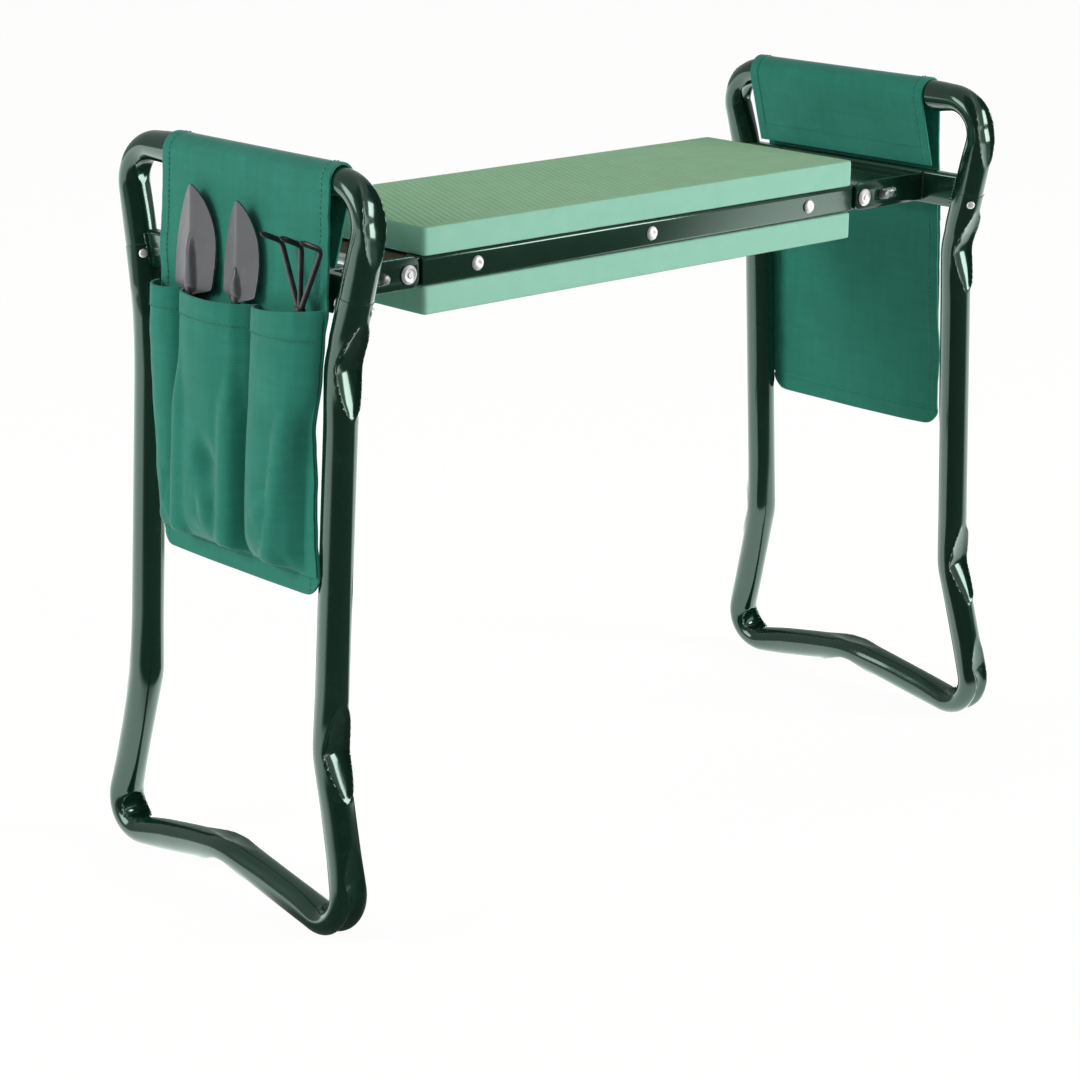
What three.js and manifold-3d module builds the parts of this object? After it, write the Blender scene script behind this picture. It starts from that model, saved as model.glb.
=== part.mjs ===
// Folding garden kneeler seat: a foam pad on two side rails, two tube leg frames that fold under it,
// and a tool pouch over each leg frame. Millimetres, +Z up, X along the seat, origin on the floor.
import * as THREE from "three";
import { mergeVertices } from "three/addons/utils/BufferGeometryUtils.js";
import Module from "manifold-3d";

const wasm = await Module();
wasm.setup();

// ---------------------------------------------------------------- driving dimensions
const GAP = 0.3; // air between pieces that rest on each other

const SEAT_Z = 405; // middle of the pad, and height of both fold pivots
const PAD_LENGTH = 397;
const PAD_WIDTH = 143;
const FOAM = 18.2; // thickness of each foam pad
const PAD_CORNER = 4;

const RAIL = { height: 18.4, web: 2.4, flange: 2, depth: 16, length: 398.6, face: 71.4 };
const TANG = { start: 170, end: 223.5, inner: 66.5, height: 17.4 };
const RIVET = { spacing: 154.2, head: 4.8, rise: 1.6, shank: 2.5, length: 13, bore: 2.8 };

const PIVOT_X = 211.5;
const AXLE = { radius: 4, head: 6.1, rise: 2.2, bore: 4.35 };
const ARM = { inner: 69.35, thick: 2.6, start: 203.1, end: 275.4, low: 396, high: 416, round: 4 };
const SLOT = { start: 228.2, end: 247.2, half: 3.9 };
const LOCK = { x: 232, radius: 3.1, collar: 4.6, collarWidth: 2.2, play: 0.6, chamfer: 0.8, reach: 76.5 };
const SPRING = { y: 52, outer: 4.4, inner: 2.9, peg: 2.3, pegLength: 12 };

const TUBE = 11; // outer radius of the frame tube
const WALL = 1.3;
const FRAME_X = 305.1; // tube centre at the floor
const LEAN = Math.atan(26.8 / 490); // feet stand outward of the hand bar
const TOP = { y: 125.8, z: 472.5, radius: 26 };
const UPPER_KINK = { y: 98.4, z: 364.6, radius: 60 };
const LOWER_KINK = { y: 98.0, z: 121.3, radius: 60 };
const FOOT = { y: 127.3, z: 4.1, radius: 24 };
const ARCH = { y: 0, z: 28.5, radius: 220 }; // middle of the floor bar, raised off the ground
const SEAM_Z = 407; // where the hand bar plugs into the legs
const SPIGOT = { length: 30, overlap: 4 };
const JOINT_RIVET = { z: 401, radius: 1.7, head: 2.9, rise: 1, lift: 0.25, bore: 1.95, turn: Math.PI / 5 };
const CROSSBAR = { inner: 276, depth: 10, low: 393.5, high: 417.5, wall: 1.5, reach: 112, clear: 0.4 };

const CLOTH = 2.2;
// tuck is the lean of the inner flap, in radians.
const PANEL = { low: 221, flap: 50, tuck: 0.22, from: -71, to: 97 };
const MOUTH_Z = 392;
const POCKET_FLOOR_Z = 234;
const POCKET_WALL = 1.1;
const POCKETS = [
  { name: "narrow", from: -71, to: -39.4, fullDepth: 12.5, slackDepth: 9 },
  { name: "wide", from: -39.1, to: 31.9, fullDepth: 16.5, slackDepth: 9 },
  { name: "side", from: 32.2, to: 97, fullDepth: 16.5, slackDepth: 9 },
];

const HANDLE = { radius: 6.7, length: 97.5, low: 237 };
const STEM = { radius: 3, tip: 2.2, socket: 20, bore: 3.4 };
const TOOL_OFF = 22.1; // tool axis, outward of the tube centres
const TROWEL = { y: -27.5, width: 40, base: 394, tip: 458, fold: 5 };
const TRANSPLANTER = { y: 20, width: 34, base: 392, tip: 454, fold: 4.5 };
const CULTIVATOR = { y: 84, base: 399, knuckle: 436, spread: 19, reach: 17, rise: 6, radius: 1.5 };
const CULTIVATOR_LEAN = 0.115; // its handle leans this much towards the middle of the pouch, in radians

const SIDES = 12; // facets round small turned pieces
const TUBE_SIDES = 10;
const BEND_STEP = 0.42; // largest turn between two sections of a bend, in radians

// ---------------------------------------------------------------- finishes
const finish = (color, roughness, metalness) =>
  new THREE.MeshStandardMaterial({ color, roughness, metalness });
const greenPaint = () => finish(0x16382a, 0.22, 0.1);
const bareSteel = () => finish(0xd9dcdc, 0.3, 0.9);
const springSteel = () => finish(0x9a9da0, 0.35, 0.9);
const foam = () => finish(0x94cfae, 0.85, 0);
const board = () => finish(0xb08a5a, 0.75, 0);
const fabric = () => finish(0x2f8f6c, 0.9, 0);
const bladeSteel = () => finish(0x7f8487, 0.45, 0.7);
const blackPlastic = () => finish(0x1b1c1d, 0.5, 0);

// ---------------------------------------------------------------- solids, joined and cut
/** Turns a closed geometry into a manifold solid. */
function solid(geometry) {
  const plain = geometry.index ? geometry.toNonIndexed() : geometry.clone();
  for (const name of Object.keys(plain.attributes)) {
    if (name !== "position") plain.deleteAttribute(name);
  }
  const merged = mergeVertices(plain, 1e-4);
  return new wasm.Manifold(
    new wasm.Mesh({
      numProp: 3,
      vertProperties: new Float32Array(merged.attributes.position.array),
      triVerts: new Uint32Array(merged.index.array),
    }),
  );
}

/** Turns a manifold solid back into a geometry. */
function geometryOf(shape) {
  const { vertProperties, triVerts } = shape.getMesh();
  const geometry = new THREE.BufferGeometry();
  geometry.setAttribute("position", new THREE.BufferAttribute(vertProperties, 3));
  geometry.setIndex(new THREE.BufferAttribute(triVerts, 1));
  geometry.computeVertexNormals();
  return geometry;
}

const joined = (...geometries) => geometryOf(geometries.map(solid).reduce((a, b) => a.add(b)));

/** The first geometry less all the others. */
function cut(body, ...tools) {
  return geometryOf(tools.reduce((left, tool) => left.subtract(solid(tool)), solid(body)));
}

// ---------------------------------------------------------------- plain shapes
const box = (x0, x1, y0, y1, z0, z1) =>
  new THREE.BoxGeometry(x1 - x0, y1 - y0, z1 - z0).translate(
    (x0 + x1) / 2,
    (y0 + y1) / 2,
    (z0 + z1) / 2,
  );

/** A cylinder along Y between two values of y. */
const rodAlongY = (radius, x, y0, y1, z, sides = SIDES) =>
  new THREE.CylinderGeometry(radius, radius, y1 - y0, sides).translate(x, (y0 + y1) / 2, z);

/** A cylinder along X between two values of x. */
const rodAlongX = (radius, x0, x1, y, z, sides = 16) =>
  new THREE.CylinderGeometry(radius, radius, x1 - x0, sides)
    .rotateZ(Math.PI / 2)
    .translate((x0 + x1) / 2, y, z);

/** A lathe profile of [radius, height] pairs, turned about Z and closed on the axis. */
function turned(profile, sides = SIDES) {
  const points = profile.map(([radius, height]) => new THREE.Vector2(radius, height));
  return new THREE.LatheGeometry(points, sides).rotateX(Math.PI / 2);
}

/** An outline in XZ, pulled along Y from y0 to y1. */
function plateXZ(outline, y0, y1, holes = []) {
  const shape = new THREE.Shape(outline.map(([x, z]) => new THREE.Vector2(x, z)));
  shape.holes = holes;
  return new THREE.ExtrudeGeometry(shape, { depth: y1 - y0, bevelEnabled: false, curveSegments: 8 })
    .rotateX(Math.PI / 2)
    .translate(0, y1, 0);
}

/** An outline in XY, pulled up along Z. */
function plateXY(shape, z0, z1) {
  return new THREE.ExtrudeGeometry(shape, {
    depth: z1 - z0,
    bevelEnabled: false,
    curveSegments: 6,
  }).translate(0, 0, z0);
}

/** A rectangle in XY with rounded corners. */
function roundedRectangle(length, width, corner) {
  const [a, b] = [length / 2, width / 2];
  const shape = new THREE.Shape();
  shape.absarc(a - corner, b - corner, corner, 0, Math.PI / 2);
  shape.absarc(-a + corner, b - corner, corner, Math.PI / 2, Math.PI);
  shape.absarc(-a + corner, -b + corner, corner, Math.PI, 1.5 * Math.PI);
  shape.absarc(a - corner, -b + corner, corner, 1.5 * Math.PI, 2 * Math.PI);
  return shape;
}

// ---------------------------------------------------------------- bent tube
/** A curve through fixed stations, so that a sweep puts a section only where the tube bends. */
class StationCurve extends THREE.Curve {
  constructor(points, tangents) {
    super();
    this.points = points;
    this.tangents = tangents;
  }
  getPointAt(u) {
    return this.points[Math.round(u * (this.points.length - 1))].clone();
  }
  getTangentAt(u) {
    return this.tangents[Math.round(u * (this.points.length - 1))].clone();
  }
  getPoint(t) {
    return this.getPointAt(t);
  }
}

/** Stations along straight runs joined by arcs. Corners are { y, z, radius }, ends have no radius. */
function bentPath(corners, x = 0) {
  const at = corners.map(({ y, z }) => new THREE.Vector3(x, y, z));
  const points = [];
  const tangents = [];
  const push = (point, tangent) => {
    points.push(point);
    tangents.push(tangent);
  };
  const last = at.length - 1;
  push(at[0], at[1].clone().sub(at[0]).normalize());
  for (let i = 1; i < last; i += 1) {
    const into = at[i].clone().sub(at[i - 1]).normalize();
    const out = at[i + 1].clone().sub(at[i]).normalize();
    const turn = into.angleTo(out);
    const setback = corners[i].radius * Math.tan(turn / 2);
    const start = at[i].clone().addScaledVector(into, -setback);
    const side = out.clone().addScaledVector(into, -out.dot(into)).normalize();
    const steps = Math.max(2, Math.ceil(turn / BEND_STEP));
    for (let k = 0; k <= steps; k += 1) {
      const angle = (turn * k) / steps;
      const forward = corners[i].radius * Math.sin(angle);
      const across = corners[i].radius * (1 - Math.cos(angle));
      push(
        start.clone().addScaledVector(into, forward).addScaledVector(side, across),
        into.clone().multiplyScalar(Math.cos(angle)).addScaledVector(side, Math.sin(angle)),
      );
    }
  }
  push(at[last], at[last].clone().sub(at[last - 1]).normalize());
  return new StationCurve(points, tangents);
}

/** A round section swept along a bent path, with a bore through it when inner is given. */
function sweep(path, outer, inner = 0, sides = TUBE_SIDES) {
  const ring = (radius, sense) =>
    Array.from({ length: sides }, (_, i) => {
      const angle = (sense * 2 * Math.PI * i) / sides;
      return new THREE.Vector2(radius * Math.cos(angle), radius * Math.sin(angle));
    });
  const section = new THREE.Shape(ring(outer, 1));
  if (inner > 0) section.holes = [new THREE.Path(ring(inner, -1))];
  return new THREE.ExtrudeGeometry(section, {
    steps: path.points.length - 1,
    extrudePath: path,
    bevelEnabled: false,
  });
}

/** The tube's y at a height on the slanted run above the upper kink. */
function sideY(z) {
  const share = (z - UPPER_KINK.z) / (TOP.z - UPPER_KINK.z);
  return UPPER_KINK.y + share * (TOP.y - UPPER_KINK.y);
}

const sideSlant = Math.atan(sideY(1) - sideY(0));
const mirrored = (corner) => ({ ...corner, y: -corner.y });

// ---------------------------------------------------------------- scene
const kneeler = new THREE.Group();

function add(parent, name, geometry, material) {
  const mesh = new THREE.Mesh(geometry, material);
  mesh.name = name;
  parent.add(mesh);
  return mesh;
}

// ---------------------------------------------------------------- seat
const railLow = SEAT_Z - RAIL.height / 2;
const railHigh = SEAT_Z + RAIL.height / 2;
const rivetPlaces = [-RIVET.spacing, 0, RIVET.spacing];

/** A channel rail on the -Y side, with a set-in tang at each end that carries the pivot. */
function railGeometry() {
  const half = RAIL.length / 2;
  const inside = -RAIL.face + RAIL.web;
  const channel = [
    box(-half, half, -RAIL.face, inside, railLow, railHigh),
    box(-half, half, -RAIL.face, -RAIL.face + RAIL.depth, railLow, railLow + RAIL.flange),
    box(-half, half, -RAIL.face, -RAIL.face + RAIL.depth, railHigh - RAIL.flange, railHigh),
  ];
  const tangs = [-1, 1].map((end) => {
    const [x0, x1] = [end * TANG.start, end * TANG.end].sort((a, b) => a - b);
    const low = SEAT_Z - TANG.height / 2;
    return box(x0, x1, inside - 0.05, -TANG.inner, low, low + TANG.height);
  });
  const bores = rivetPlaces.map((x) => rodAlongY(RIVET.bore, x, -80, -60, SEAT_Z));
  const pivots = [-PIVOT_X, PIVOT_X].map((x) => rodAlongY(AXLE.bore, x, -80, -60, SEAT_Z));
  return cut(joined(...channel, ...tangs), ...bores, ...pivots);
}

/** The board inside the rails, notched at its corners for the tangs and drilled for the rivets. */
function coreBoardGeometry() {
  const [a, b] = [PAD_LENGTH / 2 - 2, RAIL.face - RAIL.web - GAP];
  const half = RAIL.height / 2 - RAIL.flange - GAP;
  const plank = box(-a, a, -b, b, SEAT_Z - half, SEAT_Z + half);
  const notches = [];
  for (const [sx, sy] of [[-1, -1], [-1, 1], [1, -1], [1, 1]]) {
    const [x0, x1] = [sx * (TANG.start - 1), sx * (a + 1)].sort((p, q) => p - q);
    const [y0, y1] = [sy * (TANG.inner - GAP), sy * (b + 1)].sort((p, q) => p - q);
    notches.push(box(x0, x1, y0, y1, SEAT_Z - half - 1, SEAT_Z + half + 1));
  }
  const depth = RAIL.face - RAIL.web - RIVET.length;
  const pilots = rivetPlaces.flatMap((x) => [
    rodAlongY(RIVET.bore, x, -b - 1, -depth, SEAT_Z),
    rodAlongY(RIVET.bore, x, depth, b + 1, SEAT_Z),
  ]);
  return cut(plank, ...notches, ...pilots);
}

/** A domed rivet on the -Y face of a rail, its shank running into the board. */
function railRivetGeometry() {
  const { head, rise, shank, length } = RIVET;
  const profile = [[0, rise], [head * 0.55, rise * 0.86], [head * 0.9, rise * 0.45], [head, 0]];
  profile.push([shank, 0], [shank, -length], [0, -length]);
  return turned(profile.reverse()).rotateX(Math.PI / 2);
}

/** The fold axle: one shaft across the seat, headed over outside both arms. */
function axleGeometry() {
  const face = ARM.inner + ARM.thick + GAP;
  const { radius, head, rise } = AXLE;
  const end = [[radius, face], [head, face], [head * 0.93, face + rise * 0.6]];
  end.push([head * 0.6, face + rise * 0.95], [0, face + rise]);
  const other = end.map(([r, h]) => [r, -h]).reverse();
  return turned([...other, ...end]).rotateX(Math.PI / 2);
}

const foamShape = () => roundedRectangle(PAD_LENGTH, PAD_WIDTH, PAD_CORNER);
add(kneeler, "upper_foam_pad", plateXY(foamShape(), railHigh + GAP, railHigh + GAP + FOAM), foam());
add(kneeler, "lower_foam_pad", plateXY(foamShape(), railLow - GAP - FOAM, railLow - GAP), foam());
add(kneeler, "core_board", coreBoardGeometry(), board());
add(kneeler, "front_rail", railGeometry(), greenPaint());
add(kneeler, "rear_rail", railGeometry(), greenPaint()).rotation.z = Math.PI;

const rivetNames = ["left", "middle", "right"];
for (const [row, sign] of [["front", -1], ["rear", 1]]) {
  rivetPlaces.forEach((x, i) => {
    const rivet = add(kneeler, `${row}_${rivetNames[i]}_rivet`, railRivetGeometry(), bareSteel());
    rivet.rotation.z = sign < 0 ? 0 : Math.PI;
    rivet.position.set(x, sign * (RAIL.face + GAP), SEAT_Z);
  });
}

// ---------------------------------------------------------------- leg frames
const upperRun = { y: sideY(SEAM_Z), z: SEAM_Z };

/** The hand bar: an upside-down U whose ends step down to spigots. */
function handBarGeometry(boreRadius) {
  const corners = [upperRun, TOP, mirrored(TOP), mirrored(upperRun)];
  const hollow = sweep(bentPath(corners), TUBE, boreRadius);
  const high = SEAM_Z + SPIGOT.overlap;
  const low = SEAM_Z - SPIGOT.length * Math.cos(sideSlant);
  const spigots = [1, -1].map((sign) => {
    const top = { y: sign * sideY(high), z: high };
    const bottom = { y: sign * sideY(low), z: low };
    return sweep(bentPath([bottom, top]), TUBE - WALL - GAP, boreRadius);
  });
  return joined(hollow, ...spigots);
}

/** The leg loop: both kinked legs and the arched floor bar in one bent tube. */
function legLoopGeometry(boreRadius, outer = TUBE) {
  const start = { y: sideY(SEAM_Z - GAP), z: SEAM_Z - GAP };
  const side = [start, UPPER_KINK, LOWER_KINK, FOOT];
  const corners = [...side, ARCH, ...side.map(mirrored).reverse()];
  return sweep(bentPath(corners), outer, boreRadius);
}

/** The rivet that pins a spigot, along a line turned a little from Y. */
function jointRivetGeometry() {
  const { radius, head, rise, lift } = JOINT_RIVET;
  const reach = TUBE + lift;
  const end = [[radius, reach], [head, reach], [head * 0.7, reach + rise * 0.8], [0, reach + rise]];
  const other = end.map(([r, h]) => [r, -h]).reverse();
  return turned([...other, ...end], 12).rotateX(Math.PI / 2);
}

/** Sets a shape made along Y square across the slanted tube: side is +1 or -1 along Y. */
function placeJointRivet(object, side) {
  object.rotateZ(side * JOINT_RIVET.turn).rotateX(-side * sideSlant);
  object.translate(0, side * sideY(JOINT_RIVET.z), JOINT_RIVET.z);
  return object;
}

const jointBores = () =>
  [1, -1].map((side) => placeJointRivet(rodAlongY(JOINT_RIVET.bore, 0, -16, 16, 0, 12), side));

/** Turns a geometry from the leaning frame's own axes into the upright ones of its end of the seat. */
const leaned = (geometry) => geometry.rotateY(-LEAN).translate(FRAME_X, 0, 0);

/** The flat tube between the legs at seat height, its ends coped round them. */
function crossbarGeometry() {
  const { inner, depth, low, high, wall, reach } = CROSSBAR;
  const outside = box(inner, inner + depth, -reach, reach, low, high);
  const x = [inner + wall, inner + depth - wall];
  const inside = box(...x, -reach - 1, reach + 1, low + wall, high - wall);
  const clear = TUBE + CROSSBAR.clear;
  const legs = leaned(legLoopGeometry(0, clear));
  const below = SEAM_Z - SPIGOT.overlap;
  const foot = { y: sideY(below), z: below };
  const bar = leaned(sweep(bentPath([foot, TOP, mirrored(TOP), mirrored(foot)]), clear));
  const beyond = [1, -1].map((sign) => {
    const [y0, y1] = [sign * sideY(SEAM_Z), sign * (reach + 2)].sort((a, b) => a - b);
    return box(inner - 1, inner + depth + 1, y0, y1, low - 1, high + 1);
  });
  return cut(outside, inside, legs, bar, ...beyond);
}

/** An arm on the +Y side: bored for the axle, slotted for the lock rod. */
function armGeometry() {
  const { start, end, low, high, round } = ARM;
  const outline = new THREE.Shape();
  outline.absarc(start + round, low + round, round, Math.PI, 1.5 * Math.PI);
  outline.lineTo(end, low);
  outline.lineTo(end, high);
  outline.absarc(start + round, high - round, round, 0.5 * Math.PI, Math.PI);
  const bore = new THREE.Path();
  bore.absarc(PIVOT_X, SEAT_Z, AXLE.bore, 0, 2 * Math.PI, true);
  const slot = new THREE.Path();
  const { half } = SLOT;
  slot.absarc(SLOT.start + half, SEAT_Z, half, 0.5 * Math.PI, 1.5 * Math.PI);
  slot.absarc(SLOT.end - half, SEAT_Z, half, -0.5 * Math.PI, 0.5 * Math.PI);
  const points = outline.getPoints(6).map(({ x, y }) => [x, y]);
  return plateXZ(points, ARM.inner, ARM.inner + ARM.thick, [bore, slot]);
}

/** The lock rod: a bar through both slots, with a collar inside each arm. */
function lockRodGeometry() {
  const { radius, collar, collarWidth, play, chamfer, reach } = LOCK;
  const stop = ARM.inner - GAP - play;
  const profile = [[0, -reach], [radius - chamfer, -reach], [radius, -reach + chamfer]];
  profile.push([radius, -stop], [collar, -stop]);
  profile.push([collar, -stop + collarWidth], [radius, -stop + collarWidth]);
  const other = profile.map(([r, h]) => [r, -h]).reverse();
  return turned([...profile, ...other]).rotateX(Math.PI / 2).translate(LOCK.x, 0, SEAT_Z);
}

/** The push spring behind the lock rod, as the sleeve its coils fill. */
function springGeometry(y) {
  const start = LOCK.x + LOCK.radius + GAP;
  const end = CROSSBAR.inner - GAP;
  const profile = [[SPRING.inner, start], [SPRING.outer, start], [SPRING.outer, end]];
  profile.push([SPRING.inner, end], [SPRING.inner, start]);
  return turned(profile, 12).rotateY(Math.PI / 2).translate(0, y, SEAT_Z);
}

/** The peg on the crossbar that holds a spring's outer end. */
function springPegGeometry(y) {
  const end = CROSSBAR.inner - GAP;
  return rodAlongX(SPRING.peg, end - SPRING.pegLength, end, y, SEAT_Z, 12);
}

// ---------------------------------------------------------------- pouches
/** The pouch cloth: panel outside the legs, over the hand bar, and a short flap tucked in inside. */
function pouchPanelGeometry() {
  const inner = TUBE + GAP;
  const outer = inner + CLOTH;
  const turn = Math.PI + PANEL.tuck;
  const flapEnd = (radius) => [
    radius * Math.cos(turn) + PANEL.flap * Math.sin(PANEL.tuck),
    TOP.z + radius * Math.sin(turn) - PANEL.flap * Math.cos(PANEL.tuck),
  ];
  const shape = new THREE.Shape();
  shape.moveTo(inner, PANEL.low);
  shape.lineTo(outer, PANEL.low);
  shape.absarc(0, TOP.z, outer, 0, turn, false);
  shape.lineTo(...flapEnd(outer));
  shape.lineTo(...flapEnd(inner));
  shape.absarc(0, TOP.z, inner, turn, 0, true);
  const outline = shape.getPoints(10).map(({ x, y }) => [x, y]);
  return plateXZ(outline, PANEL.from, PANEL.to);
}

/** A pocket's outline seen from above: flat back, bulging front, drawn in by inset all round. */
function pocketOutline({ from, to }, depth, inset) {
  const back = TUBE + GAP + CLOTH + GAP + inset;
  const front = TUBE + GAP + CLOTH + GAP + depth - inset;
  const [y0, y1] = [from + inset, to - inset];
  const corner = (front - back) / 2;
  const shape = new THREE.Shape();
  shape.moveTo(back, y1);
  shape.lineTo(back, y0);
  shape.quadraticCurveTo(front, y0, front, y0 + corner);
  shape.lineTo(front, y1 - corner);
  shape.quadraticCurveTo(front, y1, back, y1);
  return shape;
}

/** An open-topped pocket with a closed floor. */
function pocketGeometry(pocket, depth) {
  const outside = plateXY(pocketOutline(pocket, depth, 0), POCKET_FLOOR_Z, MOUTH_Z);
  const floor = POCKET_FLOOR_Z + POCKET_WALL;
  const inside = plateXY(pocketOutline(pocket, depth, POCKET_WALL), floor, MOUTH_Z + 5);
  return cut(outside, inside);
}

// ---------------------------------------------------------------- hand tools
/** The moulded grip: a turned handle with a rounded butt and a socket for the stem. */
function handleGeometry(y) {
  const { radius, length, low } = HANDLE;
  const profile = [[0, 0], [radius * 0.7, 0.8], [radius, 5], [radius * 0.84, length * 0.3]];
  profile.push([radius, length * 0.65], [radius * 0.75, length - 8], [radius * 0.62, length]);
  profile.push([STEM.bore, length], [STEM.bore, length - STEM.socket], [0, length - STEM.socket]);
  return turned(profile, 12).translate(TOOL_OFF, y, low);
}

/** A tool's round stem from inside its handle up to a height above its base, then to a point. */
function stemGeometry(base, top, point) {
  const low = HANDLE.low + HANDLE.length - STEM.socket + GAP - base;
  return turned([[0, low], [STEM.radius, low], [STEM.radius, top], [STEM.tip, point], [0, point]], 8);
}

/** A pointed blade folded along its middle, with its tapered stem. */
function bladeGeometry({ y, width, base, tip, fold }) {
  const half = width / 2;
  const thick = 1.2;
  const height = tip - base;
  const lap = 0.4; // each wing runs this far past the fold, so that the two join
  const outline = new THREE.Shape();
  outline.moveTo(-half, 0);
  outline.lineTo(lap, 0);
  outline.lineTo(lap, height);
  outline.bezierCurveTo(-half * 0.35, height * 0.93, -half * 0.95, height * 0.6, -half, 0);
  const sheet = new THREE.ExtrudeGeometry(outline, {
    depth: thick,
    bevelEnabled: false,
    curveSegments: 6,
  });
  const slope = Math.asin(fold / half);
  const wing = (mirror) => {
    const turnedUp = sheet.clone().rotateX(Math.PI / 2).rotateZ(-Math.PI / 2 - slope);
    return mirror ? flipped(turnedUp) : turnedUp;
  };
  const stem = stemGeometry(base, 6, height * 0.4);
  return joined(wing(false), wing(true), stem).translate(TOOL_OFF, y, base);
}

/** The mirror image across the XZ plane, with its faces still pointing out. */
function flipped(geometry) {
  const copy = geometry.index ? geometry.toNonIndexed() : geometry.clone();
  const position = copy.attributes.position;
  for (let i = 0; i < position.count; i += 3) {
    const corners = [0, 2, 1].map((k) => new THREE.Vector3().fromBufferAttribute(position, i + k));
    corners.forEach((corner, k) => position.setXYZ(i + k, corner.x, -corner.y, corner.z));
  }
  return copy;
}

/** Three rod tines fanned from the stem, their tips bent outward. */
function cultivatorGeometry() {
  const { y, base, knuckle, spread, reach, rise, radius } = CULTIVATOR;
  const parts = [stemGeometry(base, 0, 8).rotateX(-CULTIVATOR_LEAN).translate(0, 0, base)];
  for (const fan of [-1, 0, 1]) {
    const points = [
      new THREE.Vector3(0, 0, base + 2),
      new THREE.Vector3(0, fan * spread, knuckle),
      new THREE.Vector3(reach, fan * spread, knuckle + rise),
    ];
    for (let i = 0; i < 2; i += 1) parts.push(rodBetween(points[i], points[i + 1], radius));
    parts.push(new THREE.SphereGeometry(radius * 1.02, 10, 8).translate(...points[1].toArray()));
  }
  return joined(...parts).translate(TOOL_OFF, y, 0);
}

/** The cultivator's handle, leaned about the foot of its tines. */
function cultivatorHandleGeometry() {
  const { y, base } = CULTIVATOR;
  return handleGeometry(0).translate(0, 0, -base).rotateX(-CULTIVATOR_LEAN).translate(0, y, base);
}

/** A straight round rod from one point to another. */
function rodBetween(from, to, radius) {
  const along = to.clone().sub(from);
  const turn = new THREE.Quaternion().setFromUnitVectors(
    new THREE.Vector3(0, 1, 0),
    along.clone().normalize(),
  );
  return new THREE.CylinderGeometry(radius, radius, along.length(), 8)
    .applyQuaternion(turn)
    .translate(...from.clone().add(to).multiplyScalar(0.5).toArray());
}

// ---------------------------------------------------------------- both ends of the seat
for (const { name, turn, full } of [
  { name: "left", turn: Math.PI, full: true },
  { name: "right", turn: 0, full: false },
]) {
  const end = new THREE.Group();
  end.rotation.z = turn;
  kneeler.add(end);
  const frame = new THREE.Group();
  frame.position.x = FRAME_X;
  frame.rotation.y = -LEAN;
  end.add(frame);
  // A side is +1 or -1 along the end's own Y; the left end is turned round, so its front is +1.
  const rows = full ? [["front", 1], ["rear", -1]] : [["front", -1], ["rear", 1]];

  add(end, `${name}_fold_axle`, axleGeometry().translate(PIVOT_X, 0, SEAT_Z), bareSteel());
  add(end, `${name}_lock_rod`, lockRodGeometry(), bareSteel());
  add(end, `${name}_crossbar`, crossbarGeometry(), greenPaint());
  const bore = TUBE - WALL;
  add(frame, `${name}_leg_loop`, cut(legLoopGeometry(bore), ...jointBores()), greenPaint());
  add(frame, `${name}_hand_bar`, cut(handBarGeometry(bore - WALL - GAP), ...jointBores()), greenPaint());
  for (const [row, side] of rows) {
    const arm = armGeometry();
    if (side < 0) arm.translate(0, -2 * ARM.inner - ARM.thick, 0);
    add(end, `${name}_${row}_arm`, arm, greenPaint());
    add(end, `${name}_${row}_lock_spring`, springGeometry(side * SPRING.y), springSteel());
    add(end, `${name}_${row}_spring_peg`, springPegGeometry(side * SPRING.y), greenPaint());
    const rivet = placeJointRivet(jointRivetGeometry(), side);
    add(frame, `${name}_${row}_joint_rivet`, rivet, bareSteel());
  }

  add(frame, `${name}_pouch_panel`, pouchPanelGeometry(), fabric());
  for (const pocket of POCKETS) {
    const depth = full ? pocket.fullDepth : pocket.slackDepth;
    add(frame, `${name}_${pocket.name}_pocket`, pocketGeometry(pocket, depth), fabric());
  }
  if (full) {
    add(frame, "trowel_blade", bladeGeometry(TROWEL), bladeSteel());
    add(frame, "trowel_handle", handleGeometry(TROWEL.y), blackPlastic());
    add(frame, "transplanter_blade", bladeGeometry(TRANSPLANTER), bladeSteel());
    add(frame, "transplanter_handle", handleGeometry(TRANSPLANTER.y), blackPlastic());
    add(frame, "cultivator_head", cultivatorGeometry(), bladeSteel());
    add(frame, "cultivator_handle", cultivatorHandleGeometry(), blackPlastic());
  }
}

export default kneeler;
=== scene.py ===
"""Looks of a folding garden kneeler seat: crush-bent tube legs, foam pads, cloth pouches and hand tools.

Lengths in the classes are millimetres. A mesh is made in the axes of its own end of the seat and is then
placed in the object's frame, in metres.
"""

import logging
import math
from collections.abc import Sequence
from dataclasses import dataclass
from enum import Enum

import bmesh
import bpy
import numpy as np
from mathutils import Matrix, Vector, noise


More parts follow.
